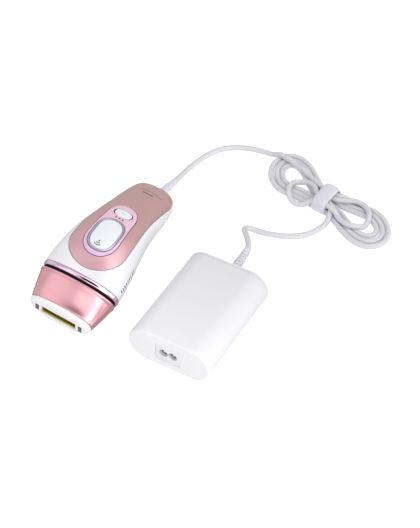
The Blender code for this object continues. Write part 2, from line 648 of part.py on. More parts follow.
def adapter():
    place = frame_empty("adapter_frame", ADAPTER_AT, 0)
    _, length, height = ADAPTER_SIZE
    mid = height / 2
    split = length - BACK_CAP
    rounding = [(0.0, 1.9), (0.35, 1.0), (1.0, 0.35), (1.9, 0.0)]
    housing = adapter_loft("adapter_housing", rounding + [(split - GAP, 0.0)], place, satin_white())
    hollow = [(ADAPTER_WALL, ADAPTER_WALL), (length + 5, ADAPTER_WALL)]
    boolean(housing, adapter_loft("adapter_hollow", hollow, place, None))
    opening = (INLET_HALF[0] + GAP, 5, INLET_HALF[1] + GAP)
    boolean(housing, box("inlet_hole", opening, (0, 0, mid), place, None))

    cap = adapter_loft("adapter_back_cap", [(split - 5, ADAPTER_WALL + GAP), (split, ADAPTER_WALL + GAP), (split, 0.0),
                                            (length - 1.0, 0.0), (length - 0.35, 0.4), (length, 1.2)],
                       place, satin_white())
    lip = [(split - 7, ADAPTER_WALL + 2.2), (split - 0.3, ADAPTER_WALL + 2.2)]
    boolean(cap, adapter_loft("cap_hollow", lip, place, None))
    boolean(cap, cylinder("adapter_relief_hole", 4.9, (0, split - 5, mid), (0, length + 5, mid), "y", place, None))

    socket = box("inlet_socket", (INLET_HALF[0], INLET_DEPTH / 2, INLET_HALF[1]),
                 (0, 0.2 + INLET_DEPTH / 2, mid), place, satin_white())
    for name, side in (("left", -1), ("right", 1)):
        x = side * PIN_SPACING / 2
        boolean(socket, cylinder(f"socket_{name}", SOCKET_R, (x, -3, mid), (x, SOCKET_DEPTH, mid), "y", place, None))
        boolean(socket, cylinder(f"pin_hole_{name}", PIN_R + GAP, (x, 5, mid), (x, 20, mid), "y", place, None, 16))
        cylinder(f"inlet_pin_{name}", PIN_R, (x, PIN_TIP_Y, mid), (x, 19.0, mid), "y", place, steel(), 16)
    slot_half = (PIN_SPACING / 2, SOCKET_DEPTH, 0.9)
    boolean(socket, box("socket_waist", slot_half, (0, 0, mid), place, None))

    box("adapter_board", (28.0, 34.0, 0.8), (0, 55.0, 6.4), place, board_green())
    box("power_transformer", (12.0, 11.0, 8.6), (-4.0, 62.0, 16.2), place,
        material("transformer_yellow", (0.78, 0.62, 0.12), 0.5), 0.6)
    cylinder("bulk_capacitor", 7.8, (20.0, 30.0, 15.4), (20.0, 54.0, 15.4), "y", place,
             material("capacitor_sleeve", (0.05, 0.07, 0.16), 0.35), 24)
    cylinder("filter_choke", 7.0, (-14.0, 36.0, 7.6), (-14.0, 36.0, 17.6), "z", place,
             material("copper_winding", (0.72, 0.35, 0.15), 0.35, 1.0), 24)
    comb = []
    for k in range(6):
        y = 62.0 + 4.4 * k
        comb += [(24.0, y - 0.8), (24.0, y + 0.8)]
        if k < 5:
            comb += [(18.5, y + 0.8), (18.5, y + 3.6)]
    plate("adapter_heat_sink", [[(16.0, 61.2), *comb, (16.0, 84.8)]], 7.6, 24.0, place,
          material("polished_aluminium", (0.85, 0.86, 0.88), 0.12, 1.0))
    taper = ((93.0, 0.0, 6.2), (95.0, 0.0, 6.2), (95.0, 0.0, 4.5), (104.0, 0.0, 4.5), (112.0, 0.2, 4.2),
             (120.0, 0.6, 3.85), (128.0, 1.2, 3.45), (134.2, 1.8, 3.1))
    loft("adapter_strain_relief", [
        [(-0.35 * rise + radius * math.cos(2 * math.pi * k / 16), y,
          mid + rise + radius * math.sin(2 * math.pi * k / 16)) for k in range(16)]
        for y, rise, radius in taper], place, lead_white())


# ================================================================ cord
def lead(name, route):
    """A round stretch of cord along a smooth curve through the route."""
    points = smooth_path(route, 8.5)
    curve = bpy.data.curves.new(name, "CURVE")
    curve.dimensions = "3D"
    curve.bevel_depth = CORD_R * MM
    curve.bevel_resolution = 2
    curve.use_fill_caps = True
    spline = curve.splines.new("POLY")
    spline.points.add(len(points) - 1)
    for point, place in zip(spline.points, points):
        point.co = (*(place * MM), 1)
    curve.materials.append(lead_white())
    PART.objects.link(bpy.data.objects.new(name, curve))


def rounded_rectangle(half, low, high, radius, per_corner=4):
    """Corners of a rounded rectangle in two axes, as (across, up)."""
    centres = ((half - radius, high - radius, 0), (-half + radius, high - radius, 90),
               (-half + radius, low + radius, 180), (half - radius, low + radius, 270))
    return [(x + radius * math.cos(math.radians(start + 90 * k / per_corner)),
             z + radius * math.sin(math.radians(start + 90 * k / per_corner)))
            for x, z, start in centres for k in range(per_corner + 1)]


def cord():
    lead("handset_lead", HANDSET_LEAD)
    lead("adapter_lead", ADAPTER_LEAD)
    place = bpy.data.objects.new("hank_frame", None)
    place.location = (HANK_AT[0] * MM, HANK_AT[1] * MM, 0)
    place.rotation_euler = (0, 0, math.radians(HANK_TURN))
    PART.objects.link(place)
    outline = [(point.x, point.y) for point in smooth_path([(x, y, 0) for x, y in HANK_OUTLINE], 9, closed=True)]
    hank = plate("cord_hank", [outline], HANK_Z[0], HANK_Z[1], place, lead_white())

    across, (low, high), inner = STRAP_HALF[1], STRAP_Z, STRAP_THICKNESS
    strap_outer = rounded_rectangle(across, low, high, 6.5)
    strap_inner = rounded_rectangle(across - inner, low + inner, high - inner, 5.4)
    seat_inner = rounded_rectangle(across - inner - GAP, low + inner + GAP, high - inner - GAP, 5.2)
    seat_outer = [(-30, -5), (30, -5), (30, 30), (-30, 30)]
    strap = plate("cord_tie", [strap_outer, strap_inner], -STRAP_HALF[0], STRAP_HALF[0], place,
                  material("tie_fabric", (0.78, 0.76, 0.84), 0.9))
    seat = plate("tie_seat", [seat_outer, seat_inner], -STRAP_HALF[0] - GAP, STRAP_HALF[0] + GAP, place, None)
    for item in (strap, seat):
        item.rotation_euler = (math.pi / 2, 0, math.pi / 2)
    boolean(hank, seat)


def build():
    clear_scene()
    handset = frame_empty("handset_frame", HANDSET_AT, HANDSET_ROLL)
    shells(handset)
    controls(handset)
    head(handset)
    lamp(handset)
    cooling(handset)
    electronics(handset)
    adapter()
    cord()


build()
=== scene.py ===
"""The look of a corded light-based hair remover: handset, power adapter and the tied cord between them.

Lengths are in millimetres until a mesh is made. The handset and the adapter each have their own frame,
the ones that the solids were built in: y runs from the front face to the cord's end, z up.
"""
import math

import bmesh
import bpy
import numpy as np
from mathutils import Matrix, Vector


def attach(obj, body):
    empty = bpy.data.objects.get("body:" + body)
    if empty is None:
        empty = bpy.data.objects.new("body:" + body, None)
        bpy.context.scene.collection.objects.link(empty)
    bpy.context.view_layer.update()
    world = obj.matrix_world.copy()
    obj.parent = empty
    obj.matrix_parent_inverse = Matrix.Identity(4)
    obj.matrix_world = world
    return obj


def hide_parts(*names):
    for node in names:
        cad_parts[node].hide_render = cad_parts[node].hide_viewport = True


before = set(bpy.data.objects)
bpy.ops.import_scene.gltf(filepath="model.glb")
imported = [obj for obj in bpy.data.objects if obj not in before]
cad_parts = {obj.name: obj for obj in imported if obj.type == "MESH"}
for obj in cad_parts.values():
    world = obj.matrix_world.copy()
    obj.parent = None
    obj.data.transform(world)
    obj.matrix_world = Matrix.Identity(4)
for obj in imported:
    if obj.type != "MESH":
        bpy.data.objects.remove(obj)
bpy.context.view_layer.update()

MM = 0.001

# ---- the frames of the two housings
HANDSET = Matrix.Translation((-53.71, -93.18, -0.18)) @ Matrix.Rotation(math.radians(8.0), 4, "Y")
ADAPTER = Matrix.Translation((48.72, -87.88, 0.0))
HANK_AT = np.array((73.2, 146.6))
HANK_TURN = math.radians(-6.4)

# ---- camera
CAMERA_AT = (434.2, -699.2, 860.4)
CAMERA_TURN = (44.3, 0.0, 29.58)       # degrees
CAMERA_LENS, CAMERA_SENSOR = 95.45, 36.0

# ---- handset hull
# y of the section's middle, half width, top, bottom, forward lean of the section in degrees
HULL = np.array((
    (0.0, 27.6, 21.5, 2.4, 2.0),
    (3.5, 29.1, 23.2, 1.2, 2.0),
    (30.0, 35.2, 39.5, 1.4, 18.0),
    (35.0, 35.7, 41.8, 1.4, 18.0),
    (55.0, 33.8, 51.2, 2.0, 8.0),
    (75.0, 30.2, 54.5, 2.6, 2.0),
    (95.0, 26.0, 53.5, 2.6, 0.0),
    (115.0, 23.2, 49.8, 1.6, 0.0),
    (133.0, 21.7, 44.6, 0.6, 0.0),
    (148.0, 19.3, 39.1, 2.5, 0.0),
    (153.0, 16.0, 35.5, 5.5, 0.0),
    (156.0, 12.0, 32.0, 9.5, 0.0),
    (157.6, 7.0, 28.0, 13.5, 0.0),
))
HULL_END = HULL[-1, 0]
TAIL_Y = 148.0
WIDEST = 0.62                            # height of a section's widest place, as a share of the section
PARTING_Z = 20.0
PARTING_HALF = 0.12                      # half of the seam between the two shells
UPPER_WALL, LOWER_WALL, SEAT_DEPTH = 3.9, 2.0, 1.9
BORE_Y = (30, 36, 42, 50, 60, 72, 86, 100, 115, 130, 142, 149, 153.5, 156.4, 157.6)
BOSSES = ((-19, 58, 15.0), (19, 58, 15.0), (0, 145.6, 12.0))          # x, y and the seat of the screw's head
BOSS_R, SCREW_HEAD_R, SCREW_HOLE_R = 3.5, 2.7, 1.7
VENTS = 9
VENT_FIRST, VENT_STEP = (38.8, 31.1), (2.66, 0.55)                    # y and z
VENT_HALF, VENT_LEAN = (0.45, 2.0), 0.22

# ---- controls on the handset
# A long outline's sides are (y, half width); its rounded ends reach on by the head's and the tail's length
COVER_SIDE = np.array(((57, 25.5), (70, 25.0), (84, 23.5), (95, 22.3), (108, 21.4), (123, 20.9), (138, 20.6)))
COVER_HEAD, COVER_TAIL = 22.6, 24.0
COVER_LOW_Z = 31.0
COVER_THICKNESS = 1.6
SEAT_GAP = 0.3
OPENING_Z = (40, 70)                     # height of the solids that cut openings in the top
WELD = 0.002
PANEL_SIDE = np.array(((63, 15.0), (89, 13.2)))
PANEL_HEAD, PANEL_TAIL, PANEL_POWER = 17.4, 15.6, 2.2
FLASH_Y = 67.2
FLASH_HALF = (10.5, 15.6)
FLASH_END, FLASH_POWER = 11.5, 2.35
FLASH_MARK_AT = np.array((-0.6, 57.6))
RING_WIDTH = 1.6
MODE_Y = 94.0
MODE_HALF = (7.7, 4.5)
MODE_OPENING = (8.8, 4.85)
MODE_WELL = (8.75, 4.8)
MODE_POWER, OPENING_POWER = 2.4, 2.3
INDICATOR_Y = 87.6
INDICATOR_X = (-3.2, 0.0, 3.2)
WINDOW_Z = 12.0
WINDOW_HALF = (16.5, 3.7)
DUCT_GAP, DUCT_BORE = 0.08, 0.7          # how far the duct's outside and inside lie in from the window's edge
SENSOR_X = 20.75
SENSOR_HOLE = (1.75, 3.35)
RELIEF_Z = 20.6
RELIEF_HOLE_R = 4.5

# ---- adapter
ADAPTER_SIZE = (74.2, 100.7, 33.7)
BACK_CAP = 2.9
BACK_HOLE_R = 4.8
INLET_HALF = (11.5, 8.5)
PIN_SPACING = 8.6
PIN_TIP_Y, PIN_END_Y, PIN_R = 1.8, 19.0, 1.2

# ---- cord
CORD_R = 2.5
CORD_STEP = 2.5
HANDSET_LEAD = ((-51.73, 92.0, 14.7), (-52.5, 99.5, 12.4), (-53.7, 108, 9.4), (-54.7, 117, 6.5),
                (-55.1, 126, 4.4), (-54.5, 135, 3.1), (-52.3, 145, 2.7), (-48.3, 156, 2.7),
                (-41.8, 166, 2.7), (-31.3, 174, 2.7), (-17.3, 178.6, 2.7), (-6.0, 180.4, 2.7),
                (4.5, 180.9, 2.8))
ADAPTER_LEAD = ((85.0, 121.0, 2.7), (83.2, 112.5, 2.7), (78.2, 103, 2.7), (71.2, 96.2, 2.7),
                (62.7, 91, 2.7), (52.7, 87, 2.7), (42.7, 84.8, 2.7), (33.7, 84, 3.0),
                (27.6, 82.4, 4.6), (26.2, 78.6, 7.1), (30.1, 73.0, 9.6), (36.7, 65.5, 12.4),
                (42.4, 57.5, 15.3), (46.1, 51.0, 17.5), (48.2, 45.0, 19.0))
# The hank, along and across it: the way in over the left loops, the way out and the loops themselves
HANK_IN = ((-65.5, 25.8, 4.8), (-56.5, 24.8, 8.2), (-47.0, 22.9, 10.2), (-37.5, 20.4, 11.0),
           (-28.5, 17.0, 10.8), (-18.5, 12.8, 10.2))
HANK_OUT = ((12.0, -8.0, 8.5), (16.0, -14.5, 4.5))
# Each loop: side, middle along, middle across, reach, half breadth, skew, first angle, last angle, height
LOOPS = (
    (1, 44.5, -6.5, 24.0, 22.0, 6.0, 112, -128, 2.7),
    (-1, -46.0, 13.2, 21.0, 24.5, 7.0, -118, 118, 2.7),
    (1, 44.5, -6.1, 18.8, 16.9, 5.5, 112, -120, 4.0),
    (-1, -45.0, 12.6, 16.0, 19.0, 7.0, -114, 114, 4.0),
    (1, 43.5, -4.8, 14.0, 12.2, 4.0, 108, -108, 6.5),
    (-1, -44.0, 12.2, 11.6, 14.2, 6.0, -108, 112, 6.5),
    (1, 31.0, -1.8, 15.8, 16.5, 5.0, 110, -110, 14.5),
    (-1, -23.5, -3.8, 15.5, 15.0, 1.0, -108, 108, 15.5),
)
LOOP_POINTS = 11
TIGHTEST = 13.0                          # the radius that the bends are eased towards
SETTLE_ROUNDS = 420
# Each pass through the tie: across and up
TIE_PASSES = ((7.8, 9.4), (-10.4, 4.1), (10.4, 4.1), (-5.2, 4.1), (5.2, 4.1), (0.0, 4.1), (2.6, 9.4),
              (-7.8, 9.4), (-2.6, 9.4))
TIE_HALF = (7.0, 15.4)
TIE_Z = (0.2, 15.6)
TIE_CORNER = 5.9
TIE_POINTS = 96
# How far a strand's middle may stand across inside the tie, and its lowest and highest place
TIE_INSIDE = (11.2, 4.0, 11.8)


# ======== shapes of the hull
def hermite(t, span, first, last, slope_first, slope_last):
    """A cubic between two values with given slopes, at the share t of the span."""
    return ((1 + 2 * t) * (1 - t) ** 2 * first + t * (1 - t) ** 2 * span * slope_first
            + t * t * (3 - 2 * t) * last + t * t * (t - 1) * span * slope_last)


def monotone_table(xs, values, samples):
    """Smooth values at samples through the points, with no overshoot between them."""
    slopes = np.diff(values) / np.diff(xs)
    tangents = np.zeros(len(xs))
    tangents[0], tangents[-1] = slopes[0], slopes[-1]
    both = slopes[:-1] * slopes[1:]
    total = np.where(slopes[:-1] + slopes[1:] == 0, 1, slopes[:-1] + slopes[1:])
    tangents[1:-1] = np.where(both <= 0, 0, 2 * both / total)
    k = np.clip(np.searchsorted(xs, samples, side="right") - 1, 0, len(xs) - 2)
    span = xs[k + 1] - xs[k]
    t = np.clip((samples - xs[k]) / span, 0, 1)
    return hermite(t, span, values[k], values[k + 1], tangents[k], tangents[k + 1])


HULL_Y = np.arange(0, HULL_END + 0.0001, 0.05)
HULL_TABLE = [monotone_table(HULL[:, 0], HULL[:, i], HULL_Y) for i in (1, 2, 3, 4)]


def hull_section(y, inset):
    """Half width, top, bottom, lean, power above and power below at y."""
    half, top, bottom, lean = (np.interp(y, HULL_Y, column) for column in HULL_TABLE)
    share = np.clip((y - 30.0) / 45.0, 0, 1)
    return half - inset, top - inset, bottom + inset, np.radians(lean), 2.2 + 0.6 * share, 2.4 - 0.3 * share


def hull_point(y, angle, inset):
    """The hull's point at station y and an angle round the section, moved inwards by inset."""
    y, angle, inset = np.broadcast_arrays(*(np.asarray(value, float) for value in (y, angle, inset)))
    half, top, bottom, lean, above, below = hull_section(y, inset)
    middle = (top + bottom) / 2
    widest = bottom + WIDEST * (top - bottom)
    c, s = np.cos(angle), np.sin(angle)
    power = 2 / np.where(s >= 0, above, below)
    reach = np.where(s >= 0, top - widest, widest - bottom)
    x = half * np.sign(c) * np.abs(c) ** power
    up = widest + reach * np.sign(s) * np.abs(s) ** power - middle
    tail = np.clip((y - TAIL_Y) / (HULL_END - TAIL_Y), 0, 1)
    return np.stack((x, y - inset * tail - np.sin(lean) * up, middle + np.cos(lean) * up), -1)


def even_angles(count):
    """Angles whose points are about evenly spread on a squarish section."""
    t = np.arange(count) * 2 * math.pi / count
    return t - 0.16 * np.sin(4 * t)


def top_height(x, y):
    """Height of the hull's upper surface over a point seen from above."""
    station = y.copy()
    for _ in range(24):
        half, top, bottom, lean, above, _ = hull_section(station, 0.0)
        middle = (top + bottom) / 2
        widest = bottom + WIDEST * (top - bottom)
        u = np.clip(np.abs(x) / half, 0, 1)
        up = widest + (top - widest) * (1 - u ** above) ** (1 / above) - middle
        station = y + np.sin(lean) * up
    height = middle + np.cos(lean) * up
    return np.where((np.abs(x) < half) & (station < HULL_END), height, -100.0)


def on_top(plan, depth, straight):
    """Points of the upper surface under plan points, sunk by depth along the normal or straight down."""
    x, y = plan[..., 0], plan[..., 1]
    z = top_height(x, y)
    if straight:
        return np.stack((x, y, z - depth), -1)
    e = 0.05
    normal = np.stack(((top_height(x - e, y) - top_height(x + e, y)) / (2 * e),
                       (top_height(x, y - e) - top_height(x, y + e)) / (2 * e), np.ones_like(z)), -1)
    normal /= np.linalg.norm(normal, axis=-1, keepdims=True)
    return np.stack((x, y, z), -1) - normal * np.asarray(depth)[..., None]


# ======== outlines seen from above
def long_outline(side, head_length, tail_length, count, power=2.0):
    """A long rounded outline with evenly spread points: superelliptic ends, curved sides."""
    t = np.linspace(0, math.pi / 2, 60)
    sine, cosine = np.sin(t) ** (2 / power), np.abs(np.cos(t)) ** (2 / power)
    y = np.linspace(side[0, 0], side[-1, 0], 60)[1:-1]
    x = monotone_table(side[:, 0], side[:, 1], y) if len(side) > 2 else np.interp(y, side[:, 0], side[:, 1])
    right = np.concatenate((np.stack((side[0, 1] * sine, side[0, 0] - head_length * cosine), -1),
                            np.stack((x, y), -1),
                            np.stack((side[-1, 1] * cosine, side[-1, 0] + tail_length * sine), -1)))
    closed = np.concatenate((right, right[::-1][1:] * (-1, 1)))
    return even_loop(closed, count)


def even_loop(closed, count):
    """Evenly spaced points on a closed line whose first and last points are the same."""
    run = np.concatenate(([0], np.cumsum(np.linalg.norm(np.diff(closed, axis=0), axis=1))))
    at = np.arange(count) * run[-1] / count
    return np.stack([np.interp(at, run, closed[:, i]) for i in range(closed.shape[1])], -1)


def flash_outline(grow):
    """Outline of the large button, grown all round."""
    half, length = FLASH_HALF
    straight = length - FLASH_END
    side = np.array(((FLASH_Y - straight, half + grow), (FLASH_Y + straight, half + grow)))
    return long_outline(side, FLASH_END + grow, FLASH_END + grow, 160, FLASH_POWER)


def ellipse(half_x, half_y, centre_y, count=96, power=2.0):
    """A superellipse on the middle line; power 2 gives a plain ellipse."""
    t = np.arange(count) * 2 * math.pi / count - math.pi / 2
    x, y = (np.sign(v) * np.abs(v) ** (2 / power) for v in (np.cos(t), np.sin(t)))
    return np.stack((half_x * x, centre_y + half_y * y), -1)


def grown(outline, distance):
    """The outline moved outwards."""
    along = np.roll(outline, -1, 0) - np.roll(outline, 1, 0)
    out = np.stack((along[:, 1], -along[:, 0]), -1)
    return outline + distance * out / np.linalg.norm(out, axis=1, keepdims=True)


def spine_of(outline, first, last):
    """For each point of a long outline, its place on the middle line between two stations."""
    return np.stack((np.zeros(len(outline)), np.clip(outline[:, 1], first, last)), -1)


def circle(radius, count, centre=(0, 0)):
    """Corners of a circle."""
    turn = [math.tau * k / count for k in range(count)]
    return [(centre[0] + radius * math.cos(a), centre[1] + radius * math.sin(a)) for a in turn]


# ======== meshes
def place_item(name, data):
    item = bpy.data.objects.new(name, data)
    bpy.context.scene.collection.objects.link(item)
    return item


def finish_mesh(name, bm, place, material, body, sharp=35.0):
    """Object from a bmesh in the millimetres of one of the frames."""
    bmesh.ops.recalc_face_normals(bm, faces=bm.faces)
    mesh = bpy.data.meshes.new(name)
    bm.to_mesh(mesh)
    bm.free()
    mesh.transform(Matrix.Scale(MM, 4) @ place)
    mesh.shade_smooth()
    mesh.set_sharp_from_angle(angle=math.radians(sharp))
    piece = place_item(name, mesh)
    if material is not None:
        mesh.materials.append(material)
    if body:
        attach(piece, body)
    return piece


def grid(rows, ring=False, caps=True):
    """Quads between rows of points that are closed round; ring joins the last row to the first."""
    bm = bmesh.new()
    made = [[bm.verts.new(point) for point in row] for row in rows]
    count = len(made[0])
    for low, high in zip(made, made[1:] + made[:1] if ring else made[1:]):
        for k in range(count):
            bm.faces.new((low[k], low[(k + 1) % count], high[(k + 1) % count], high[k]))
    if caps and not ring:
        bm.faces.new(made[0])
        bm.faces.new(made[-1][::-1])
    return bm


def join(whole, part):
    """Adds a part to a bmesh and frees it."""
    mesh = bpy.data.meshes.new("part")
    part.to_mesh(mesh)
    part.free()
    whole.from_mesh(mesh)
    bpy.data.meshes.remove(mesh)


def hull_rows(stations, count):
    """Closed rows round the hull, one for each (y, inset)."""
    angles = even_angles(count)
    return [hull_point(y, angles, inset) for y, inset in stations]


def tube_of_hull(name, outer, inner_inset, material, body, sharp=35.0):
    """A closed band of the hull: outer (y, inset) rows, then its bore back to the start."""
    last, first = outer[-1][0], outer[0][0]
    bore = [(last + (first - last) * k / 6, inner_inset) for k in range(7)]
    bm = grid(hull_rows(outer + bore, 144), ring=True)
    return finish_mesh(name, bm, HANDSET, material, body, sharp)


def round_edge(radius, steps=5):
    """(distance in from the edge, depth) from the wall up on to the top."""
    turn = [math.pi / 2 * k / steps for k in range(steps + 1)]
    return [(radius * (1 - math.cos(a)), radius * (1 - math.sin(a))) for a in turn]


def draped(name, outer, inner, thickness, material, body, *, radius, inside_rows, inner_radius=None,
           lift=0.0, crown=0.0, straight=False):
    """A plate of the hull's skin between two outlines, or over all of one when inner is a line.

    lift raises it over the hull and crown raises its middle further. Its edges are rounded.
    """
    span = inner - outer
    width = np.linalg.norm(span, axis=1)
    unit = span / np.maximum(width, 1e-6)[:, None]
    closed = inner_radius is None
    edge = round_edge(radius)
    other = [] if closed else round_edge(inner_radius)[::-1]
    rows = [on_top(outer, thickness, straight)]
    rows += [on_top(outer + unit * s, depth - lift, straight) for s, depth in edge]
    for k in range(1, inside_rows):
        f = (1 - math.cos(math.pi * k / inside_rows)) / 2
        start, end = edge[-1][0], width - (0 if closed else other[0][0])
        at = start + (end - start) * f
        rise = lift + crown * math.sin(math.pi / 2 * f)
        rows.append(on_top(outer + unit * at[:, None], -rise, straight))
    under = [on_top(inner - span * f, thickness, straight) for f in (0, 0.25, 0.5, 0.75)]
    if closed:
        bm = grid(rows + [on_top(inner, -lift - crown, straight)], caps=False)
        join(bm, grid(under + [rows[0]], caps=False))
        bmesh.ops.remove_doubles(bm, verts=bm.verts, dist=WELD)
    else:
        rows += [on_top(inner - unit * s, depth - lift, straight) for s, depth in other]
        bm = grid(rows + under, ring=True)
    return finish_mesh(name, bm, HANDSET, material, body)


def box(half, centre, bevel=0.0):
    bm = bmesh.new()
    bmesh.ops.create_cube(bm, size=2.0, matrix=Matrix.Translation(centre) @ Matrix.Diagonal((*half, 1)))
    if bevel:
        bmesh.ops.bevel(bm, geom=bm.edges[:], offset=bevel, segments=3, profile=0.5, affect="EDGES")
    return bm


def prism(outline, low, high):
    """An upright prism over a plan outline."""
    return grid([[(x, y, low) for x, y in outline], [(x, y, high) for x, y in outline]])


def rounded_slot(half_a, half_b, radius, steps=4):
    """Corners of a rounded rectangle."""
    points = []
    for sa, sb, start in ((1, 1, 0), (-1, 1, 90), (-1, -1, 180), (1, -1, 270)):
        for k in range(steps + 1):
            t = math.radians(start + 90 * k / steps)
            a, b = radius * math.cos(t), radius * math.sin(t)
            points.append((sa * (half_a - radius) + a, sb * (half_b - radius) + b))
    return points


def prism_y(outline, low, high, centre):
    """A prism along y over an (x, z) outline."""
    return grid([[(x + centre[0], y, z + centre[1]) for x, z in outline] for y in (low, high)])


def combine(piece, tool, operation, coloured=False):
    """Applies a Boolean step to the piece and removes the tool, whose material may colour the cut."""
    step = piece.modifiers.new("cut", "BOOLEAN")
    if coloured:
        step.material_mode = "TRANSFER"
    step.operation = operation
    step.solver = "EXACT"
    step.object = tool
    graph = bpy.context.evaluated_depsgraph_get()
    graph.update()
    mesh = bpy.data.meshes.new_from_object(piece.evaluated_get(graph))
    old = piece.data
    piece.modifiers.clear()
    piece.data = mesh
    mesh.name = old.name
    bpy.data.meshes.remove(old)
    bpy.data.objects.remove(tool, do_unlink=True)


def cut(piece, bm, place=HANDSET, operation="DIFFERENCE", material=None):
    """Cuts the piece with a solid in one of the frames."""
    combine(piece, finish_mesh("tool", bm, place, material, None), operation, material is not None)


def resharpen(piece, angle=30.0):
    piece.data.shade_smooth()
    piece.data.set_sharp_from_angle(angle=math.radians(angle))


def stands_for(node):
    """Hides the CAD node whose place a new piece takes."""
    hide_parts(node)


def lathe(name, profile, place, material, body):
    """A turned piece along y: (y, radius) pairs, closed at both ends."""
    count = 24
    t = np.arange(count) * 2 * math.pi / count
    rows = [np.stack((r * np.cos(t), np.full(count, y), r * np.sin(t)), -1) for y, r in profile]
    return finish_mesh(name, grid(rows), place, material, body)


# ======== materials
class Tree:
    """Shortcuts for a node tree. An underscore in an input's name stands for a space."""

    def __init__(self, tree):
        self.tree = tree

    @staticmethod
    def set(node, **values):
        for name, value in values.items():
            node.inputs[name.replace("_", " ")].default_value = value

    def link(self, source, target):
        self.tree.links.new(source, target)

    def add(self, kind, output, source=None, into="Vector", **values):
        """One output of a new node, with its values set and one of its inputs linked."""
        node = self.tree.nodes.new("ShaderNode" + kind)
        self.set(node, **values)
        if source:
            self.link(source, node.inputs[into])
        return node.outputs[output]

    def spread(self, value, low, high, start=0.3, end=0.7):
        return self.add("MapRange", "Result", value, "Value",
                        From_Min=start, From_Max=end, To_Min=low, To_Max=high)


class Nodes(Tree):
    """A new node material with a Principled shader."""

    def __init__(self, name, colour, roughness, metallic=0.0, **sockets):
        self.material = bpy.data.materials.new(name)
        self.material.use_nodes = True
        super().__init__(self.material.node_tree)
        self.shader = self.tree.nodes["Principled BSDF"]
        self.set(self.shader, Base_Color=(*colour, 1), Roughness=roughness, Metallic=metallic, **sockets)
        self.coordinates = self.add("TexCoord", "Object")

    def noise(self, scale, detail=3.0, vector=None, roughness=0.5):
        return self.add("TexNoise", "Fac", vector or self.coordinates,
                        Scale=scale, Detail=detail, Roughness=roughness)

    def along_y(self, first, last):
        """0 up to the first place on y, in metres, rising to 1 at the last."""
        y = self.add("SeparateXYZ", "Y", self.coordinates)
        return self.spread(y, 0.0, 1.0, first, last)

    def blend(self, factor, first, second, how="MIX"):
        """Two colours, each given or linked."""
        node = self.tree.nodes.new("ShaderNodeMix")
        node.data_type = "RGBA"
        node.blend_type = how
        self.link(factor, node.inputs[0])
        for socket, colour in zip(node.inputs[6:8], (first, second)):
            if isinstance(colour, tuple):
                socket.default_value = (*colour, 1)
            else:
                self.link(colour, socket)
        return node.outputs[2]

    def colour_from(self, factor, first, second, how="MIX"):
        self.link(self.blend(factor, first, second, how), self.shader.inputs["Base Color"])
        return self

    def rough_from(self, value, low, high):
        self.link(self.spread(value, low, high), self.shader.inputs["Roughness"])
        return self

    def bump(self, height, distance, strength=1.0):
        normal = self.add("Bump", "Normal", height, "Height", Strength=strength, Distance=distance)
        self.link(normal, self.shader.inputs["Normal"])
        return self


def moulded(name, colour, roughness, grain=0.00002, shade=0.988, **sockets):
    """Injection-moulded plastic: faint mottling, fine surface grain, uneven gloss."""
    m = Nodes(name, colour, roughness, **sockets)
    m.colour_from(m.noise(60, 2), tuple(c * shade for c in colour), colour)
    m.rough_from(m.noise(420, 3), roughness * 0.94, roughness * 1.06)
    return m.bump(m.noise(2600, 2), grain, 0.5).material


def satin_paint(name, colour, far_colour, along, roughness, metallic, coat_roughness, grain=0.000003):
    """Satin paint with fine flakes under a clear coat, whose tone is painted to change along the housing: a
    painted reflection of the lighting.

    along gives the two places on y, in metres, between which colour turns into far_colour.
    """
    m = Nodes(name, colour, roughness, metallic,
              Coat_Weight=1.0, Coat_Roughness=coat_roughness, Coat_IOR=1.85)
    # Painted reflection: the base colour turns from colour to far_colour along y, for the light that the
    # housing reflects differently at the head and the tail.
    painted_reflection_tone = m.blend(m.along_y(*along), colour, far_colour)
    flakes = m.spread(m.noise(1300, 2), 0.0, 1.0, 0.35, 0.65)
    m.colour_from(flakes, painted_reflection_tone, (0.985, 0.98, 0.982), "MULTIPLY")
    m.rough_from(m.noise(90, 2), roughness * 0.97, roughness * 1.03)
    return m.bump(m.noise(2600, 2), grain, 0.4).material


def metal(name, colour, roughness, stretch=(1, 1, 1)):
    """Metal with faint streaks, finer where stretch is greater."""
    m = Nodes(name, colour, roughness, 1.0)
    streaks = m.noise(700, 3, m.add("Mapping", "Vector", m.coordinates, Scale=stretch))
    m.rough_from(streaks, roughness * 0.75, roughness * 1.3)
    m.colour_from(m.noise(150, 2), tuple(c * 0.95 for c in colour), colour)
    return m.bump(streaks, 0.000006, 0.4).material


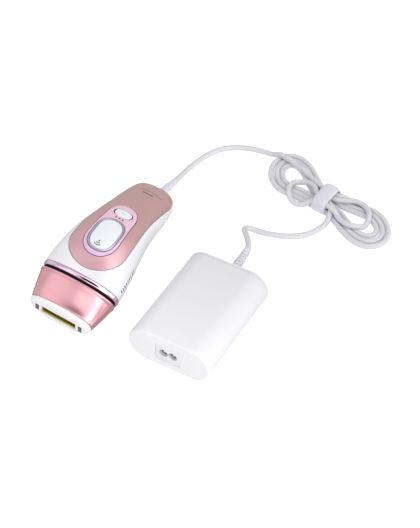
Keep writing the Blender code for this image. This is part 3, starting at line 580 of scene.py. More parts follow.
def make_materials():
    made = {
        "shell": moulded("gloss_white", (0.80, 0.80, 0.82), 0.24, Coat_Weight=0.25, Coat_Roughness=0.08),
        "button": moulded("button_white", (0.80, 0.81, 0.835), 0.32, 0.000004, 0.995),
        "face": moulded("face_white", (0.82, 0.81, 0.82), 0.22, Coat_Weight=0.3, Coat_Roughness=0.08),
        # rose_gold and panel_pink carry a painted reflection: the cover is pinker at the head and browner at
        # the tail, the panel lilac at the head and pink towards the tail.
        "rose": satin_paint("rose_gold", (0.68, 0.37, 0.42), (0.60, 0.335, 0.315), (-0.05, 0.0),
                            0.4, 0.5, 0.3),
        "cap": satin_paint("cap_rose", (0.82, 0.38, 0.43), (0.82, 0.38, 0.43), (-0.09, -0.06),
                           0.24, 0.85, 0.2, 0.0000005),
        "panel": satin_paint("panel_pink", (0.68, 0.46, 0.70), (0.84, 0.53, 0.66), (-0.05, -0.02),
                             0.4, 0.1, 0.3),
        "chrome": metal("pink_chrome", (0.90, 0.64, 0.82), 0.11),
        "lilac": Nodes("lilac_chrome", (0.56, 0.53, 0.66), 0.3, 0.9).material,
        "rubber": moulded("black_rubber", (0.004, 0.003, 0.004), 0.75, Specular_IOR_Level=0.15),
        # painted shade: a near black for the well under the small button
        "dark": moulded("well_painted_shade", (0.03, 0.02, 0.035), 0.5),
        "mark": moulded("mark_grey", (0.20, 0.20, 0.23), 0.5),
        "brown_mark": moulded("brown_mark", (0.12, 0.05, 0.05), 0.5),
        "socket": moulded("socket_white", (0.79, 0.79, 0.81), 0.42),
        "cord": moulded("cord_white", (0.65, 0.65, 0.68), 0.46, 0.00004),
        "relief": moulded("relief_white", (0.68, 0.68, 0.72), 0.46, 0.00004),
        "pin": Nodes("nickel", (0.93, 0.93, 0.93), 0.25, 0.35).material,
        "gold": Nodes("gold_duct", (0.52, 0.40, 0.04), 0.26, 0.5).material,
        "vent": moulded("vent_shade", (0.16, 0.10, 0.12), 0.6),
        # painted shade: dark grey for the deep walls of the mains socket
        "socket_shade": moulded("socket_painted_shade", (0.14, 0.145, 0.155), 0.4),
        # painted shade: a dark tone for the gaps between the cover, the panel and the ring
        "gap_shade": moulded("seam_painted_shade", (0.09, 0.025, 0.09), 0.5),
        "sensor": moulded("sensor_grey", (0.07, 0.075, 0.085), 0.4),
        "sensor_bar": metal("sensor_bar", (0.42, 0.44, 0.47), 0.3),
        "grey": moulded("grey_plastic", (0.27, 0.28, 0.30), 0.5),
        "black": moulded("black_plastic", (0.02, 0.02, 0.022), 0.45),
        "steel": metal("steel", (0.62, 0.62, 0.64), 0.26, (1, 12, 1)),
        "aluminium": metal("aluminium", (0.83, 0.84, 0.86), 0.14, (1, 1, 10)),
        "sleeve": moulded("capacitor_sleeve", (0.02, 0.03, 0.09), 0.3),
        "tape": moulded("transformer_tape", (0.66, 0.50, 0.07), 0.45),
        "ceramic": moulded("ceramic", (0.74, 0.72, 0.66), 0.75, 0.00005),
    }
    m = Nodes("satin_white", (0.77, 0.77, 0.80), 0.4)
    # Painted light: the housing is painted lighter at its front end, which faces the lamp, and darker towards
    # its back.
    m.colour_from(m.along_y(-0.09, 0.01), (0.83, 0.83, 0.845), (0.71, 0.71, 0.74))
    made["adapter"] = m.rough_from(m.noise(420), 0.37, 0.43).bump(m.noise(2600, 2), 0.00003, 0.5).material
    m = Nodes("indicator_lens", (0.05, 0.03, 0.06), 0.15, Transmission_Weight=0.3, IOR=1.49)
    made["lens"] = m.material
    m = Nodes("filter_glass", (0.95, 0.55, 0.16), 0.04, Transmission_Weight=0.85, IOR=1.5)
    made["filter"] = m.rough_from(m.noise(300), 0.03, 0.06).material
    m = Nodes("quartz", (0.95, 0.97, 1.0), 0.03, Transmission_Weight=0.95, IOR=1.46)
    made["quartz"] = m.rough_from(m.noise(300), 0.02, 0.05).material
    m = Nodes("copper_winding", (0.72, 0.30, 0.10), 0.3, 1.0)
    turns = m.add("TexWave", "Fac", m.coordinates, Scale=900)
    turns.node.bands_direction = "Z"
    made["copper"] = m.colour_from(turns, (0.45, 0.17, 0.05), (0.80, 0.36, 0.13)).bump(turns, 0.0002).material
    m = Nodes("circuit_board", (0.02, 0.16, 0.07), 0.35)
    cells = m.add("TexVoronoi", "Distance", m.coordinates, Scale=420)
    cells.node.feature = "DISTANCE_TO_EDGE"
    tracks = m.spread(cells, 0.0, 1.0, 0.02, 0.07)
    m.colour_from(tracks, (0.05, 0.30, 0.14), (0.015, 0.13, 0.06))
    made["board"] = m.bump(tracks, 0.00004).material
    m = Nodes("tie_fabric", (0.70, 0.68, 0.76), 0.9, Sheen_Weight=0.5, Sheen_Roughness=0.5)
    fuzz = m.noise(1500, 4, roughness=0.75)
    m.colour_from(m.spread(fuzz, 0.0, 1.0, 0.35, 0.65), (0.64, 0.62, 0.71), (0.79, 0.77, 0.85))
    made["tie"] = m.bump(fuzz, 0.0006, 0.8).material
    return made


# ======== cord
def hank_to_row(along, across, z):
    c, s = math.cos(HANK_TURN), math.sin(HANK_TURN)
    return (HANK_AT[0] + along * c - across * s, HANK_AT[1] + along * s + across * c, z)


def cord_plan():
    """Route points and whether each is held in place."""
    points = [(point, k < len(HANDSET_LEAD) - 4) for k, point in enumerate(HANDSET_LEAD)]
    points += [(hank_to_row(*point), False) for point in HANK_IN]
    direction = 1
    for k, (across, z) in enumerate(TIE_PASSES):
        points += [(hank_to_row(along * direction, across, z), False) for along in (-6, 6)]
        if k < len(LOOPS):
            side, centre, middle, reach, half, skew, first, last, height = LOOPS[k]
            for i in range(LOOP_POINTS):
                a = math.radians(first + (last - first) * i / (LOOP_POINTS - 1))
                along = centre + side * reach * math.cos(a) - skew * math.sin(a)
                points.append((hank_to_row(along, middle + half * math.sin(a), height), False))
            direction = -direction
    points += [(hank_to_row(*point), False) for point in HANK_OUT]
    points += [(point, True) for point in ADAPTER_LEAD]
    return np.array([p for p, _ in points], float), [held for _, held in points]


def smooth_route(points, held):
    """Points about CORD_STEP apart on a smooth curve, and which of them are held."""
    chord = np.linalg.norm(np.diff(points, axis=0), axis=1)
    tangent = np.zeros_like(points)
    tangent[0] = (points[1] - points[0]) / chord[0]
    tangent[-1] = (points[-1] - points[-2]) / chord[-1]
    for k in range(1, len(points) - 1):
        before = (points[k] - points[k - 1]) / chord[k - 1]
        after = (points[k + 1] - points[k]) / chord[k]
        tangent[k] = (before * chord[k] + after * chord[k - 1]) / (chord[k] + chord[k - 1])
    route, pinned = [], []
    for k, h in enumerate(chord):
        parts = max(1, round(h / CORD_STEP))
        for i in range(parts):
            route.append(hermite(i / parts, h, points[k], points[k + 1], tangent[k], tangent[k + 1]))
            pinned.append(held[k] and held[k + 1])
    route = np.array(route + [points[-1]])
    for _ in range(10):
        route[4:-4] = (route[3:-5] + 2 * route[4:-4] + route[5:-3]) / 4
    for _ in range(120):
        for reach, share in ((1, 0.4), (2, 0.3), (3, 0.15)):
            route[4:-4] += share * too_bent(route, reach)[4 - reach:reach - 4]
    return route, np.array(pinned + [True])


def too_bent(line, reach):
    """How each inner point has to move for the bend there to be as wide as the cord allows."""
    bend = line[:-2 * reach] - 2 * line[reach:-reach] + line[2 * reach:]
    allowed = (reach * CORD_STEP) ** 2 / TIGHTEST
    return bend * np.maximum(0, 1 - allowed / (np.linalg.norm(bend, axis=1)[:, None] + 1e-9))


def settle(route, pinned):
    """Lets the loose part lie down: strands push each other apart, resist bending and stay in the tie."""
    clear = 2 * CORD_R + 0.12
    line, plan = route.copy(), route.copy()
    free = (~pinned)[:, None]
    c, s = math.cos(HANK_TURN), math.sin(HANK_TURN)
    for turn in range(SETTLE_ROUNDS):
        if turn % 10 == 0:
            apart = np.linalg.norm(line[:, None] - line[None], axis=2)
            first, second = np.nonzero(np.triu(apart < clear + 3, 6))
        between = line[first] - line[second]
        length = np.linalg.norm(between, axis=1) + 1e-9
        lack = np.maximum(0, clear - length)
        hit = lack > 0
        push = between / length[:, None] * (lack * 0.5)[:, None]
        push[:, 2] *= 1.3
        moved, hits = np.zeros_like(line), np.zeros(len(line))
        np.add.at(moved, first[hit], push[hit])
        np.add.at(moved, second[hit], -push[hit])
        np.add.at(hits, first[hit], 1)
        np.add.at(hits, second[hit], 1)
        line = np.where(free, line + moved / np.maximum(1, hits * 0.6)[:, None], line)
        # each round sinks the strands a little and draws them back towards their plan
        line[:, 2] -= np.where(pinned, 0, 0.05)
        line[:, :2] += np.where(free, 0.03 * (plan[:, :2] - line[:, :2]), 0)
        even = line.copy()
        even[2:-2] = (-line[:-4] + 4 * line[1:-3] + 4 * line[3:-1] - line[4:]) / 6
        line = np.where(free, 0.6 * line + 0.4 * even, line)
        even = line.copy()
        even[1:-1] = (line[:-2] + line[2:]) / 2
        line = np.where(free, 0.93 * line + 0.07 * even, line)
        for reach, share in ((1, 0.5), (2, 0.3), (3, 0.12)):
            line[reach:-reach] += np.where(free[reach:-reach], share * too_bent(line, reach), 0)
        # strands within the tie stay inside it, and none sinks into the floor
        dx, dy = line[:, 0] - HANK_AT[0], line[:, 1] - HANK_AT[1]
        along, across = dx * c + dy * s, -dx * s + dy * c
        tied = (np.abs(along) < 8) & (np.abs(across) < 20) & ~pinned
        wide, low, high = TIE_INSIDE
        across = np.where(tied, np.clip(across, -wide, wide), across)
        line[:, 2] = np.where(tied, np.clip(line[:, 2], low, high), line[:, 2])
        line[:, 0] = np.where(tied, HANK_AT[0] + along * c - across * s, line[:, 0])
        line[:, 1] = np.where(tied, HANK_AT[1] + along * s + across * c, line[:, 1])
        line[:, 2] = np.where(pinned, line[:, 2], np.maximum(line[:, 2], CORD_R + 0.15))
    return line


def make_cord(material):
    points, held = cord_plan()
    route, pinned = smooth_route(points, held)
    line = settle(route, pinned)
    curve = bpy.data.curves.new("cord", "CURVE")
    curve.dimensions = "3D"
    curve.bevel_depth = CORD_R * MM
    curve.bevel_resolution = 6
    curve.use_fill_caps = True
    spline = curve.splines.new("POLY")
    spline.points.add(len(line) - 1)
    for point, place in zip(spline.points, line):
        point.co = (*(place * MM), 1)
    spline.use_smooth = True
    curve.materials.append(material)
    piece = place_item("cord", curve)
    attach(piece, "body")
    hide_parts("handset_lead", "cord_hank", "adapter_lead")
    length = np.linalg.norm(np.diff(line, axis=0), axis=1).sum() * MM
    return piece, length


def make_tie(material):
    """The hook-and-loop tie: a soft lumpy band round the strands, its free end lapped over on top."""
    half, across = TIE_HALF
    low, high = TIE_Z
    middle = (low + high) / 2
    core = np.array(rounded_slot(across - 0.7, (high - low) / 2 - 0.7, TIE_CORNER, 12))
    core[:, 0] *= 0.93 - 0.012 * core[:, 1]                # narrower towards the top, where fewer strands lie
    ring = even_loop(np.concatenate((core, core[:1])), TIE_POINTS)
    out = grown(ring, 1.0) - ring
    turn = np.arange(TIE_POINTS) * math.tau / TIE_POINTS
    lumps = (0.28 * np.sin(5 * turn + 0.6) + 0.16 * np.sin(9 * turn + 2.0))[:, None]
    lift = np.where(ring[:, 1:] > 0, 1.0, 0.25)
    rows = []
    widths = (-1, -0.985, -0.93, -0.84, -0.7, -0.4, -0.1, 0.2, 0.5, 0.7, 0.84, 0.93, 0.985, 1)
    layers = ((1, 0.68, 0.5, 1.6, widths), (-1, 0.6, 0.3, 1.4, widths[::-1]))
    for side, thickness, rise, fall, order in layers:
        for w in order:
            edge = 0.25 if abs(w) == 1 else 0.55 if abs(w) > 0.98 else thickness
            swell = (rise - fall * w ** 4 + lumps * math.cos(0.9 * w)) * lift
            rows.append([(w * half, y, middle + z) for y, z in ring + out * (side * edge + swell)])
    place = Matrix.Translation((HANK_AT[0], HANK_AT[1], 0)) @ Matrix.Rotation(HANK_TURN, 4, "Z")
    band = finish_mesh("cord_tie_band", grid(rows, ring=True), place, material, "body", 60)
    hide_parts("cord_tie")

    edge = [(-1, 0.5), (-0.985, 0.95), (-0.94, 1.15)] + [(w, 1.2) for w in np.linspace(-0.8, 0.8, 9)]
    edge += [(0.94, 1.15), (0.985, 0.95), (1, 0.5)] + [(w, 0.1) for w in np.linspace(0.98, -0.98, 9)]
    reach = half - 0.5
    first, last = 8, 52
    loops = []
    for k in range(first, last + 1):
        end = min(1.0, 0.35 + 0.4 * min(k - first, last - k))
        loop = []
        for w, height in edge:
            swell = (0.5 - 1.6 * (w * reach / half) ** 4 + lumps[k, 0] * math.cos(0.9 * w)) * lift[k, 0]
            y, z = ring[k] + out[k] * (0.6 + swell + height * end)
            loop.append((w * reach + 0.02 * (k - first), y, middle + z))
        loops.append(loop)
    flap = finish_mesh("cord_tie_flap", grid(loops), place, material, "body", 60)
    return band, flap


# ======== handset
BODY_ROWS = [(35.3, 0.4), (35.4, 0.18), (35.6, 0.04), (35.9, 0.0)]
BODY_ROWS += [(y, 0.0) for y in np.arange(37.5, 147, 1.75)]
BODY_ROWS += [(y, 0.0) for y in (148, 149.5, 151, 152.3, 153.5, 154.6, 155.5, 156.2, 156.8, 157.2, 157.6)]


def cover_edge():
    """Plan outline of the cover, held in at the tail where the hull falls below the cover's edge."""
    outline = long_outline(COVER_SIDE, COVER_HEAD, COVER_TAIL, 240)
    spine = spine_of(outline, 60, 134)
    low, high = np.zeros(len(outline)), np.ones(len(outline))
    inside = top_height(outline[:, 0], outline[:, 1]) >= COVER_LOW_Z
    for _ in range(30):
        mid = (low + high) / 2
        at = spine + (outline - spine) * mid[:, None]
        good = top_height(at[:, 0], at[:, 1]) >= COVER_LOW_Z
        low, high = np.where(good, mid, low), np.where(good, high, mid)
    share = np.where(inside, 1.0, low)
    return spine + (outline - spine) * share[:, None]


def side_vents(side):
    """The leaning slots in one side of the shell."""
    bm = bmesh.new()
    for k in range(VENTS):
        y, z = (first + step * k for first, step in zip(VENT_FIRST, VENT_STEP))
        outline = [(y + a - VENT_LEAN * b, z + b) for a, b in rounded_slot(*VENT_HALF, 0.4)]
        join(bm, grid([[(x, p, q) for p, q in outline] for x in (side * 26, side * 42)]))
    return bm


def half_shell(name, way, wall, mat):
    """The hull's part above (1) or below (-1) the parting line, hollowed out."""
    shell = finish_mesh(name + "_skin", grid(hull_rows(BODY_ROWS, 128)), HANDSET, mat["shell"], "body")
    keep = box((60, 100, 40), (0, 90, PARTING_Z + way * (PARTING_HALF + 40)))
    cut(shell, keep, operation="INTERSECT")
    cut(shell, grid(hull_rows([(y, wall) for y in BORE_Y], 64)))
    return shell


def relief_hole():
    """The round opening for the cord's relief, which both shells share."""
    return prism_y(circle(RELIEF_HOLE_R, 32), 149, 162, (0, RELIEF_Z))


def shells(mat):
    upper = half_shell("upper_shell", 1, UPPER_WALL, mat)
    edge = grown(long_outline(COVER_SIDE, COVER_HEAD, COVER_TAIL, 240), SEAT_GAP)
    seat = finish_mesh("seat", prism(edge, COVER_LOW_Z - SEAT_GAP, 70), HANDSET, None, None)
    cut(seat, grid(hull_rows([(y, SEAT_DEPTH) for y in BORE_Y], 96)))
    combine(upper, seat, "DIFFERENCE")
    for side in (-1, 1):
        cut(upper, side_vents(side), material=mat["vent"])
    cut(upper, relief_hole())
    resharpen(upper)
    stands_for("upper_shell")

    lower = half_shell("lower_shell", -1, LOWER_WALL, mat)
    cut(lower, relief_hole())
    for x, y, head_z in BOSSES:
        column = prism(circle(BOSS_R, 32, (x, y)), 1.0, PARTING_Z - PARTING_HALF)
        boss = finish_mesh("boss", column, HANDSET, None, None)
        cut(boss, grid(hull_rows([(p, 0.6 + q) for p, q in BODY_ROWS], 64)), operation="INTERSECT")
        combine(lower, boss, "UNION")
        for radius, top in ((SCREW_HEAD_R, head_z), (SCREW_HOLE_R, 30)):
            cut(lower, prism(circle(radius, 32, (x, y)), -3, top))
    resharpen(lower)
    stands_for("lower_shell")


def cover_and_panel(mat):
    panel = long_outline(PANEL_SIDE, PANEL_HEAD, PANEL_TAIL, 240, PANEL_POWER)
    cover = draped("top_cover_skin", cover_edge(), grown(panel, 0.5), COVER_THICKNESS, mat["rose"], "body",
                   radius=0.45, inner_radius=0.35, inside_rows=30)
    stands_for("top_cover")
    # A dark sheet laid under the seam between the cover and the panel: painted shade in the gap.
    line = draped("panel_gap", grown(panel, 0.44), grown(panel, 0.06), COVER_THICKNESS, mat["gap_shade"], "body",
                  lift=-0.25, radius=0.05, inner_radius=0.05, inside_rows=1)

    skin = draped("control_panel_skin", panel, spine_of(panel, 60, 91), COVER_THICKNESS, mat["panel"], "body",
                  radius=0.35, lift=0.12, inside_rows=26)
    # The walls of these openings are painted dark: painted shade in the gaps round the ring and the small
    # button.
    for opening in (flash_outline(RING_WIDTH + 0.6), ellipse(*MODE_OPENING, MODE_Y, power=OPENING_POWER)):
        cut(skin, prism(opening, *OPENING_Z), material=mat["gap_shade"])
    for x in INDICATOR_X:
        cut(skin, prism(ellipse(0.95, 0.72, INDICATOR_Y, 24) + (x, 0), *OPENING_Z))
    resharpen(skin)
    stands_for("control_panel")

    ring = draped("flash_ring", flash_outline(RING_WIDTH + 0.15), flash_outline(0.25), COVER_THICKNESS,
                  mat["lilac"], "body", lift=0.75, radius=0.8, inner_radius=0.7, inside_rows=1, straight=True)
    stands_for("flash_button_ring")
    for k, x in enumerate(INDICATOR_X):
        dot = ellipse(0.88, 0.65, INDICATOR_Y, 24) + (x, 0)
        lens = draped(f"indicator_{k + 1}", dot, np.tile((x, INDICATOR_Y), (24, 1)), 3.0, mat["lens"], "body",
                      radius=0.2, lift=0.05, crown=0.12, inside_rows=3, straight=True)
        stands_for(f"indicator_light_{k + 1}")


def arc_ribbon(centre, radius, first, last, width, count=16):
    """A bent bar seen from above, as an outline."""
    t = np.radians(np.linspace(first, last, count))
    round_centre = np.stack((np.cos(t), np.sin(t)), -1)
    outside = centre + (radius + width / 2) * round_centre
    inside = centre + (radius - width / 2) * round_centre
    return np.concatenate((outside, inside[::-1]))


def stamped(name, outline, material, body, lift, thickness=0.12):
    """A printed mark: a thin plate that follows the surface under it."""
    half = len(outline) // 2
    near, far = outline[:half], outline[half:][::-1]
    across = [near * (1 - f) + far * f for f in (0.0, 0.5, 1.0)]
    top = [on_top(row, -lift - thickness, True) for row in across]
    low = [on_top(row, -lift + 0.15, True) for row in across]
    loops = [np.stack([row[k] for row in top + low[::-1]]) for k in range(half)]
    return finish_mesh(name, grid(loops), HANDSET, material, body, 50)


def short_spine(outline):
    """For each point of the small button's outline, its place on the button's long axis."""
    return np.stack((np.clip(outline[:, 0], -3, 3), np.full(len(outline), MODE_Y)), -1)


def buttons(mat):
    outline = flash_outline(0.0)
    spine = spine_of(outline, FLASH_Y - 5, FLASH_Y + 5)
    flash = draped("flash_button_cap", outline, spine, COVER_THICKNESS - 1.0, mat["button"], "flash_button",
                   lift=1.0, crown=0.35, radius=1.3, inside_rows=16, straight=True)
    stands_for("flash_button")
    dot = arc_ribbon(FLASH_MARK_AT, 0.4, 0, 340, 0.7)
    stamped("flash_mark_dot", dot, mat["mark"], "flash_button", 1.33)
    for k in range(2):
        arc = arc_ribbon(FLASH_MARK_AT, 2.1 + 1.75 * k, 222, 318, 0.72)
        stamped(f"flash_mark_arc_{k + 1}", arc, mat["mark"], "flash_button", 1.3 - 0.06 * k)

    outline = ellipse(*MODE_HALF, MODE_Y, power=MODE_POWER)
    mode = draped("mode_button_cap", outline, short_spine(outline), 0.6, mat["button"], "mode_button",
                  lift=0.7, crown=0.25, radius=0.7, inside_rows=12, straight=True)
    stands_for("mode_button")
    for k in range(5):
        x, end = (k - 2) * 0.85, MODE_Y - 0.45 - 0.1 * (k % 2)
        near = np.linspace((x - 0.12, end), (x + 0.12, MODE_Y - 0.45), 4)
        far = np.linspace((x + 0.12, MODE_Y + 0.45), (x - 0.12, MODE_Y + 0.45), 4)
        stamped(f"mode_mark_{k + 1}", np.concatenate((near, far)), mat["mark"], "mode_button", 0.93)
    # A dark sheet in the well under the small button: painted shade in the gap round it.
    outline = ellipse(*MODE_WELL, MODE_Y, power=OPENING_POWER)
    well = draped("mode_well", outline, short_spine(outline), 1.85, mat["dark"], "body",
                  lift=-1.52, radius=0.05, inside_rows=4, straight=True)


def tail_mark(mat):
    """A plain thin line and a short bar at the tail, printed on the cover."""
    line = arc_ribbon(np.array((1.5, 110.0)), 28.6, 68, 111, 0.45, 24)
    near, far = np.linspace((-4.5, 133.0), (5.5, 133.3), 12), np.linspace((5.5, 134.5), (-4.5, 134.2), 12)
    bar = np.concatenate((near, far))
    for name, outline in (("tail_line", line), ("tail_bar", bar)):
        stamped(name, outline, mat["brown_mark"], "body", 0.0, 0.05)


def head(mat):
    outer = [(3.8, 0.5), (3.85, 0.25), (4.0, 0.08), (4.3, 0.0)] + [(y, 0.0) for y in np.arange(5.5, 26, 1.4)]
    outer += [(26.1, -0.06), (26.6, -0.3), (27.1, -0.5), (27.9, -0.56), (28.4, -0.45), (28.75, -0.15),
              (28.9, 0.25)]
    cap = tube_of_hull("head_cap_skin", outer, 1.8, mat["cap"], "head")
    stands_for("head_cap")
    outer = [(29.3, 1.25), (30.0, 1.2), (30.8, 1.25)]
    seal = tube_of_hull("head_seal_band", outer, 2.7, mat["rubber"], "body")
    stands_for("head_seal")
    outer = [(31.1, 0.7), (31.15, 0.35), (31.35, 0.1), (31.8, -0.05), (32.6, -0.14),
             (33.5, -0.14), (34.3, -0.05), (34.75, 0.1), (34.95, 0.35), (35.0, 0.7)]
    ring = tube_of_hull("head_ring_band", outer, 2.7, mat["chrome"], "body", sharp=60)
    stands_for("head_ring")

    rim = [(7.0, 2.1), (3.5, 2.1), (3.5, 0.0), (2.6, 0.0), (1.9, 0.1), (1.2, 0.35), (0.6, 0.8), (0.15, 1.4),
           (-0.15, 2.1), (-0.33, 2.9), (-0.4, 3.7)]
    bm = grid(front_rows(rim, 160))
    face = finish_mesh("treatment_face_skin", bm, HANDSET, mat["face"], "head", 50)
    cut(face, grid(hull_rows([(4.8, 4.2), (8.0, 4.2)], 64)))
    cut(face, prism_y(rounded_slot(*WINDOW_HALF, 0.5), -3, 9, (0, WINDOW_Z)))
    cut(face, prism_y(rounded_slot(18.0, 5.2, 0.5), 2.6, 9, (0, WINDOW_Z)))
    for side in (-1, 1):
        cut(face, prism_y(rounded_slot(*SENSOR_HOLE, 0.5), -3, 9, (side * SENSOR_X, WINDOW_Z)))
    resharpen(face, 40)
    stands_for("treatment_face")
    outside, bore = (rounded_slot(*(half - inset for half in WINDOW_HALF), radius)
                     for inset, radius in ((DUCT_GAP, 0.45), (DUCT_BORE, 0.3)))
    wall = prism_y(outside, 0.6, 2.45, (0, WINDOW_Z))
    duct = finish_mesh("window_duct", wall, HANDSET, mat["gold"], "head")
    cut(duct, prism_y(bore, -1, 4, (0, WINDOW_Z)))
    for name, side in (("left", -1), ("right", 1)):
        sensor(name, side * SENSOR_X, mat)


def front_rows(stations, count):
    """Rows of the head's front, where some stations lie ahead of the hull's first section."""
    angles = even_angles(count)
    rows = []
    for y, inset in stations:
        row = hull_point(max(y, 0.0), angles, inset)
        row[:, 1] += min(y, 0.0)
        rows.append(row)
    return rows


def sensor(name, x, mat):
    """A dark skin sensor with three lighter contact bars."""
    block = box((1.55, 3.4, 3.15), (x, 3.0, WINDOW_Z), 0.25)
    piece = finish_mesh(f"sensor_{name}", block, HANDSET, mat["sensor"], "head")
    stands_for(f"skin_sensor_{name}")
    for k in range(3):
        strip = box((1.1, 0.3, 0.42), (x, -0.45, WINDOW_Z + (k - 1) * 1.75), 0.12)
        bar = finish_mesh(f"sensor_{name}_bar_{k + 1}", strip, HANDSET, mat["sensor_bar"], "head")


def relief_rows(path, grooves, width, depth):
    """Rows of a tapered strain relief.

    path gives y, x, z and radius; the grooves lie alternately on two sides.
    """
    count = 64
    t = np.arange(count) * 2 * math.pi / count
    ys, *columns = np.array(path, float).T
    stops = list(ys)
    for groove in grooves:
        stops += [groove + width * share for share in (-1, -0.7, 0, 0.7, 1)]
    rows = []
    for y in sorted(stops):
        x, z, r = (np.interp(y, ys, column) for column in columns)
        sunk = np.zeros(count)
        for k, groove in enumerate(grooves):
            if abs(y - groove) < width * 0.9:
                phase = 0 if k % 2 else math.pi / 2
                sunk = depth * np.clip(1.6 * np.abs(np.cos(t - phase)) - 0.5, 0, 1)
        rows.append(np.stack((x + (r - sunk) * np.cos(t), np.full(count, y), z + (r - sunk) * np.sin(t)), -1))
    return rows


def handset_relief(mat):
    stops = np.array(((151.2, 20.6, 5.6), (152.8, 20.6, 5.6), (152.81, 20.6, 4.1), (158.5, 20.6, 4.1),
                      (164.0, 20.1, 3.95), (170.0, 19.0, 3.7), (177.0, 17.2, 3.4), (183.0, 15.5, 3.1),
                      (186.6, 14.5, 2.9), (187.0, 14.4, 2.6)))             # y, z and radius
    ys = np.sort(np.concatenate((stops[:, 0], np.arange(159.5, 186.5, 1.5))))
    path = [(y, 0, *(np.interp(y, stops[:, 0], stops[:, i]) for i in (1, 2))) for y in ys]
    rows = relief_rows(path, [160.0, 163.2, 166.4, 169.6], 0.6, 0.5)
    piece = finish_mesh("handset_relief", grid(rows), HANDSET, mat["relief"], "body", 40)
    stands_for("handset_strain_relief")


# ======== adapter
def stadium_rows(stations):
    """Rows of the adapter's section, one for each (y, inset): two half circles and their straight sides."""
    width, _, height = ADAPTER_SIZE
    straight = width / 2 - height / 2
    count = 40
    rows = []
    for y, inset in stations:
        radius = height / 2 - inset
        row = []
        for side in (1, -1):
            for k in range(count + 1):
                a = side * math.pi * (k / count - 0.5)
                x = side * (straight + radius * abs(math.cos(a)))
                row.append((x, y, height / 2 + radius * math.sin(a)))
            for f in (0.25, 0.5, 0.75):
                row.append((side * straight * (1 - 2 * f), y, height / 2 + side * radius))
        rows.append(row)
    return rows


def adapter_case(mat):
    _, length, height = ADAPTER_SIZE
    mid, split = height / 2, length - BACK_CAP
    body = round_edge(1.9, 8) + [(y, 0.0) for y in np.linspace(4, split - 2, 9)]
    body += [(split - 0.5, 0.0), (split - 0.34, 0.06), (split - 0.25, 0.25)]
    bm = grid(stadium_rows(body))
    housing = finish_mesh("adapter_housing_skin", bm, ADAPTER, mat["adapter"], "body")
    cut(housing, grid(stadium_rows([(2.2, 2.2), (length + 5, 2.2)])), ADAPTER)
    hole = rounded_slot(INLET_HALF[0] + 0.16, INLET_HALF[1] + 0.16, 0.6)
    cut(housing, prism_y(hole, -4, 6, (0, mid)), ADAPTER)
    resharpen(housing)
    stands_for("adapter_housing")

    back = [(split - 5, 2.5), (split, 2.5), (split, 0.25), (split + 0.08, 0.06), (split + 0.25, 0.0)]
    back += [(length - down, inset) for inset, down in round_edge(1.2, 6)]
    cap = finish_mesh("adapter_back_skin", grid(stadium_rows(back)), ADAPTER, mat["adapter"], "body")
    cut(cap, grid(stadium_rows([(split - 7, 4.4), (split - 0.3, 4.4)])), ADAPTER)
    cut(cap, prism_y(circle(BACK_HOLE_R, 40), split - 6, length + 5, (0, mid)), ADAPTER)
    resharpen(cap)
    stands_for("adapter_back_cap")


def figure_eight(radius, waist):
    """Outline of two circles side by side joined by a narrow waist."""
    steps = 24
    start = math.degrees(math.asin(waist / radius))
    points = []
    for side in (1, -1):
        for k in range(steps + 1):
            a = math.radians(180 - start - (360 - 2 * start) * k / steps) * -1
            points.append((side * (PIN_SPACING / 2 + radius * math.cos(a)), side * radius * math.sin(a)))
    return points


def inlet(mat):
    mid = ADAPTER_SIZE[2] / 2
    block = box((INLET_HALF[0], 7.5, INLET_HALF[1]), (0, 7.7, mid), 0.35)
    socket = finish_mesh("inlet_socket_block", block, ADAPTER, mat["socket"], "body")
    # The deep walls of the socket's two holes are painted dark grey as painted shade; the first few
    # millimetres keep the white of the block.
    cut(socket, prism_y(figure_eight(3.6, 0.9), -3, 12.5, (0, mid)), ADAPTER, material=mat["socket_shade"])
    for wider, depth in ((0.15, 3.2), (0.35, 0.65)):
        cut(socket, prism_y(figure_eight(3.6 + wider, 0.9 + wider), -3, depth, (0, mid)), ADAPTER)
    resharpen(socket)
    stands_for("inlet_socket")
    tip = [(PIN_TIP_Y + y, r) for y, r in ((0.0, 0.15), (0.1, 0.55), (0.35, 0.9), (0.8, 1.15), (1.3, PIN_R))]
    for name, side in (("left", -1), ("right", 1)):
        place = ADAPTER @ Matrix.Translation((side * PIN_SPACING / 2, 0, mid))
        pin = lathe(f"inlet_{name}_pin", tip + [(PIN_END_Y, PIN_R)], place, mat["pin"], "body")
        stands_for(f"inlet_pin_{name}")


def adapter_relief(mat):
    """The ribbed relief, whose path is given from the middle of the adapter's back."""
    path = [(93.0, 0, 0, 6.2), (94.9, 0, 0, 6.2), (95.0, 0, 0, 4.5), (104.0, 0, 0, 4.5),
            (112.0, -0.07, 0.2, 4.2), (120.0, -0.21, 0.6, 3.85), (128.0, -0.42, 1.2, 3.45),
            (133.8, -0.62, 1.77, 3.1), (134.2, -0.63, 1.8, 2.8)]
    rows = relief_rows(path, [103.4 + 1.55 * k for k in range(18)], 0.62, 0.95)
    place = ADAPTER @ Matrix.Translation((0, 0, ADAPTER_SIZE[2] / 2))
    relief = finish_mesh("adapter_relief", grid(rows), place, mat["relief"], "body", 40)
    stands_for("adapter_strain_relief")


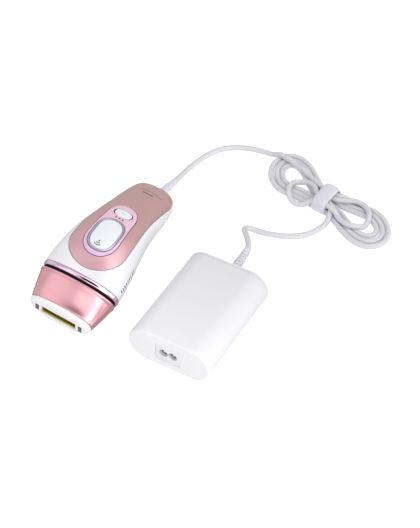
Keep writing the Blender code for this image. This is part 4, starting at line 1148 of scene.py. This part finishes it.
# ======== carried-over solids
def dress_cad_nodes(mat):
    """Materials for the solids that are shown as they are."""
    dress = {
        "gold": ("window_frame",), "grey": ("lamp_nozzle", "flash_plunger", "mode_plunger", "fan_rotor"),
        "black": ("flash_switch", "mode_switch", "fan_frame", "control_chip"), "filter": ("filter_glass",),
        "aluminium": ("lamp_reflector", "adapter_heat_sink"), "quartz": ("flash_lamp",),
        "ceramic": ("lamp_holder_left", "lamp_holder_right"),
        "steel": ("heat_sink", "shell_screw_1", "shell_screw_2", "shell_screw_3"),
        "copper": ("trigger_coil", "filter_choke"), "sleeve": ("flash_capacitor", "bulk_capacitor"),
        "board": ("button_board", "main_board", "adapter_board"), "tape": ("power_transformer",),
    }
    for key, nodes in dress.items():
        for node in nodes:
            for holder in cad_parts[node].material_slots:
                holder.material = mat[key]


# ======== stage
# The light tent: azimuth and elevation of a soft panel, its inner and outer radius (degrees) and its radiance
TENT_LIGHT = 0.64
PANELS = (
    (49, 41, 4, 14, 2.0),
    (-36, 46, 10, 26, 0.5),
    (64, 71, 10, 30, 2.4),
    (-92, 28, 6, 22, 0.2),
    (90, 24, 9, 30, 1.6),
    (-47, 72, 5, 17, 0.5),
)
# Darker gaps between the panels, as the glossy trim shows them, each with what it leaves of the light
GAPS = ((9, 45, 9, 21, 0.12), (6, 60, 8, 18, 0.12), (10, 72, 9, 18, 0.02))


def direction(azimuth, elevation):
    """Unit vector towards a place in the tent; azimuth 0 is in front of the object, 90 on its right."""
    a, e = math.radians(azimuth), math.radians(elevation)
    return math.sin(a) * math.cos(e), -math.cos(a) * math.cos(e), math.sin(e)


def tent():
    """The world's light: an even tent with brighter panels and darker gaps, plain white to the camera."""
    world = bpy.data.worlds.new("studio")
    bpy.context.scene.world = world
    world.use_nodes = True
    sky = Tree(world.node_tree)
    towards = sky.add("TexCoord", "Generated")

    def spot(azimuth, elevation, inner, outer, inside, outside):
        near = sky.tree.nodes.new("ShaderNodeVectorMath")
        near.operation = "DOT_PRODUCT"
        near.inputs[1].default_value = direction(azimuth, elevation)
        sky.link(towards, near.inputs[0])
        start, end = (math.cos(math.radians(radius)) for radius in (outer, inner))
        edge = sky.spread(near.outputs["Value"], outside, inside, start, end)
        edge.node.interpolation_type = "SMOOTHSTEP"
        return edge

    def maths(operation, first, second):
        node = sky.tree.nodes.new("ShaderNodeMath")
        node.operation = operation
        for socket, value in zip(node.inputs, (first, second)):
            if isinstance(value, float):
                socket.default_value = value
            else:
                sky.link(value, socket)
        return node.outputs["Value"]

    total = TENT_LIGHT
    for azimuth, elevation, inner, outer, radiance in PANELS:
        total = maths("ADD", total, spot(azimuth, elevation, inner, outer, radiance, 0.0))
    for azimuth, elevation, inner, outer, left in GAPS:
        total = maths("MULTIPLY", spot(azimuth, elevation, inner, outer, left, 1.0), total)
    backdrop = maths("MULTIPLY", sky.add("LightPath", "Is Camera Ray"), 1.2)
    background = sky.tree.nodes["Background"]
    sky.set(background, Color=(0.985, 0.985, 1.0, 1))
    sky.link(maths("MAXIMUM", total, backdrop), background.inputs["Strength"])


def stage():
    bm = bmesh.new()
    bmesh.ops.create_grid(bm, x_segments=1, y_segments=1, size=4.0)
    mesh = bpy.data.meshes.new("floor")
    bm.to_mesh(mesh)
    bm.free()
    m = Nodes("floor_white", (0.3, 0.3, 0.3), 0.9)
    m.set(m.shader, Emission_Color=(1, 1, 1, 1))
    glow = m.spread(m.add("LightPath", "Is Glossy Ray"), 0.86, 0.12, 0.0, 1.0)
    m.link(glow, m.shader.inputs["Emission Strength"])
    mesh.materials.append(m.material)
    place_item("floor", mesh)
    tent()

    lamp = bpy.data.lights.new("front", "AREA")
    lamp.shape = "RECTANGLE"
    lamp.size, lamp.size_y = 0.5, 0.35
    lamp.energy = 0.9
    lamp.color = (1.0, 0.99, 0.98)
    item = place_item("front", lamp)
    item.location = (0.12, -0.62, 0.5)
    item.rotation_euler = (Vector((0.05, -0.05, 0.0)) - item.location).to_track_quat("-Z", "Y").to_euler()
    bpy.context.scene.view_settings.view_transform = "Standard"


def camera():
    lens = bpy.data.cameras.new("camera")
    lens.lens = CAMERA_LENS
    lens.sensor_width = CAMERA_SENSOR
    lens.dof.use_dof = False
    lens.clip_end = 10.0
    item = place_item("camera", lens)
    item.location = Vector(CAMERA_AT) * MM
    item.rotation_euler = [math.radians(a) for a in CAMERA_TURN]
    bpy.context.scene.camera = item


def build():
    camera()
    mat = make_materials()
    piece, length = make_cord(mat["cord"])
    ties = make_tie(mat["tie"])
    shells(mat)
    cover_and_panel(mat)
    buttons(mat)
    tail_mark(mat)
    head(mat)
    handset_relief(mat)
    adapter_case(mat)
    inlet(mat)
    adapter_relief(mat)
    dress_cad_nodes(mat)
    stage()


build()
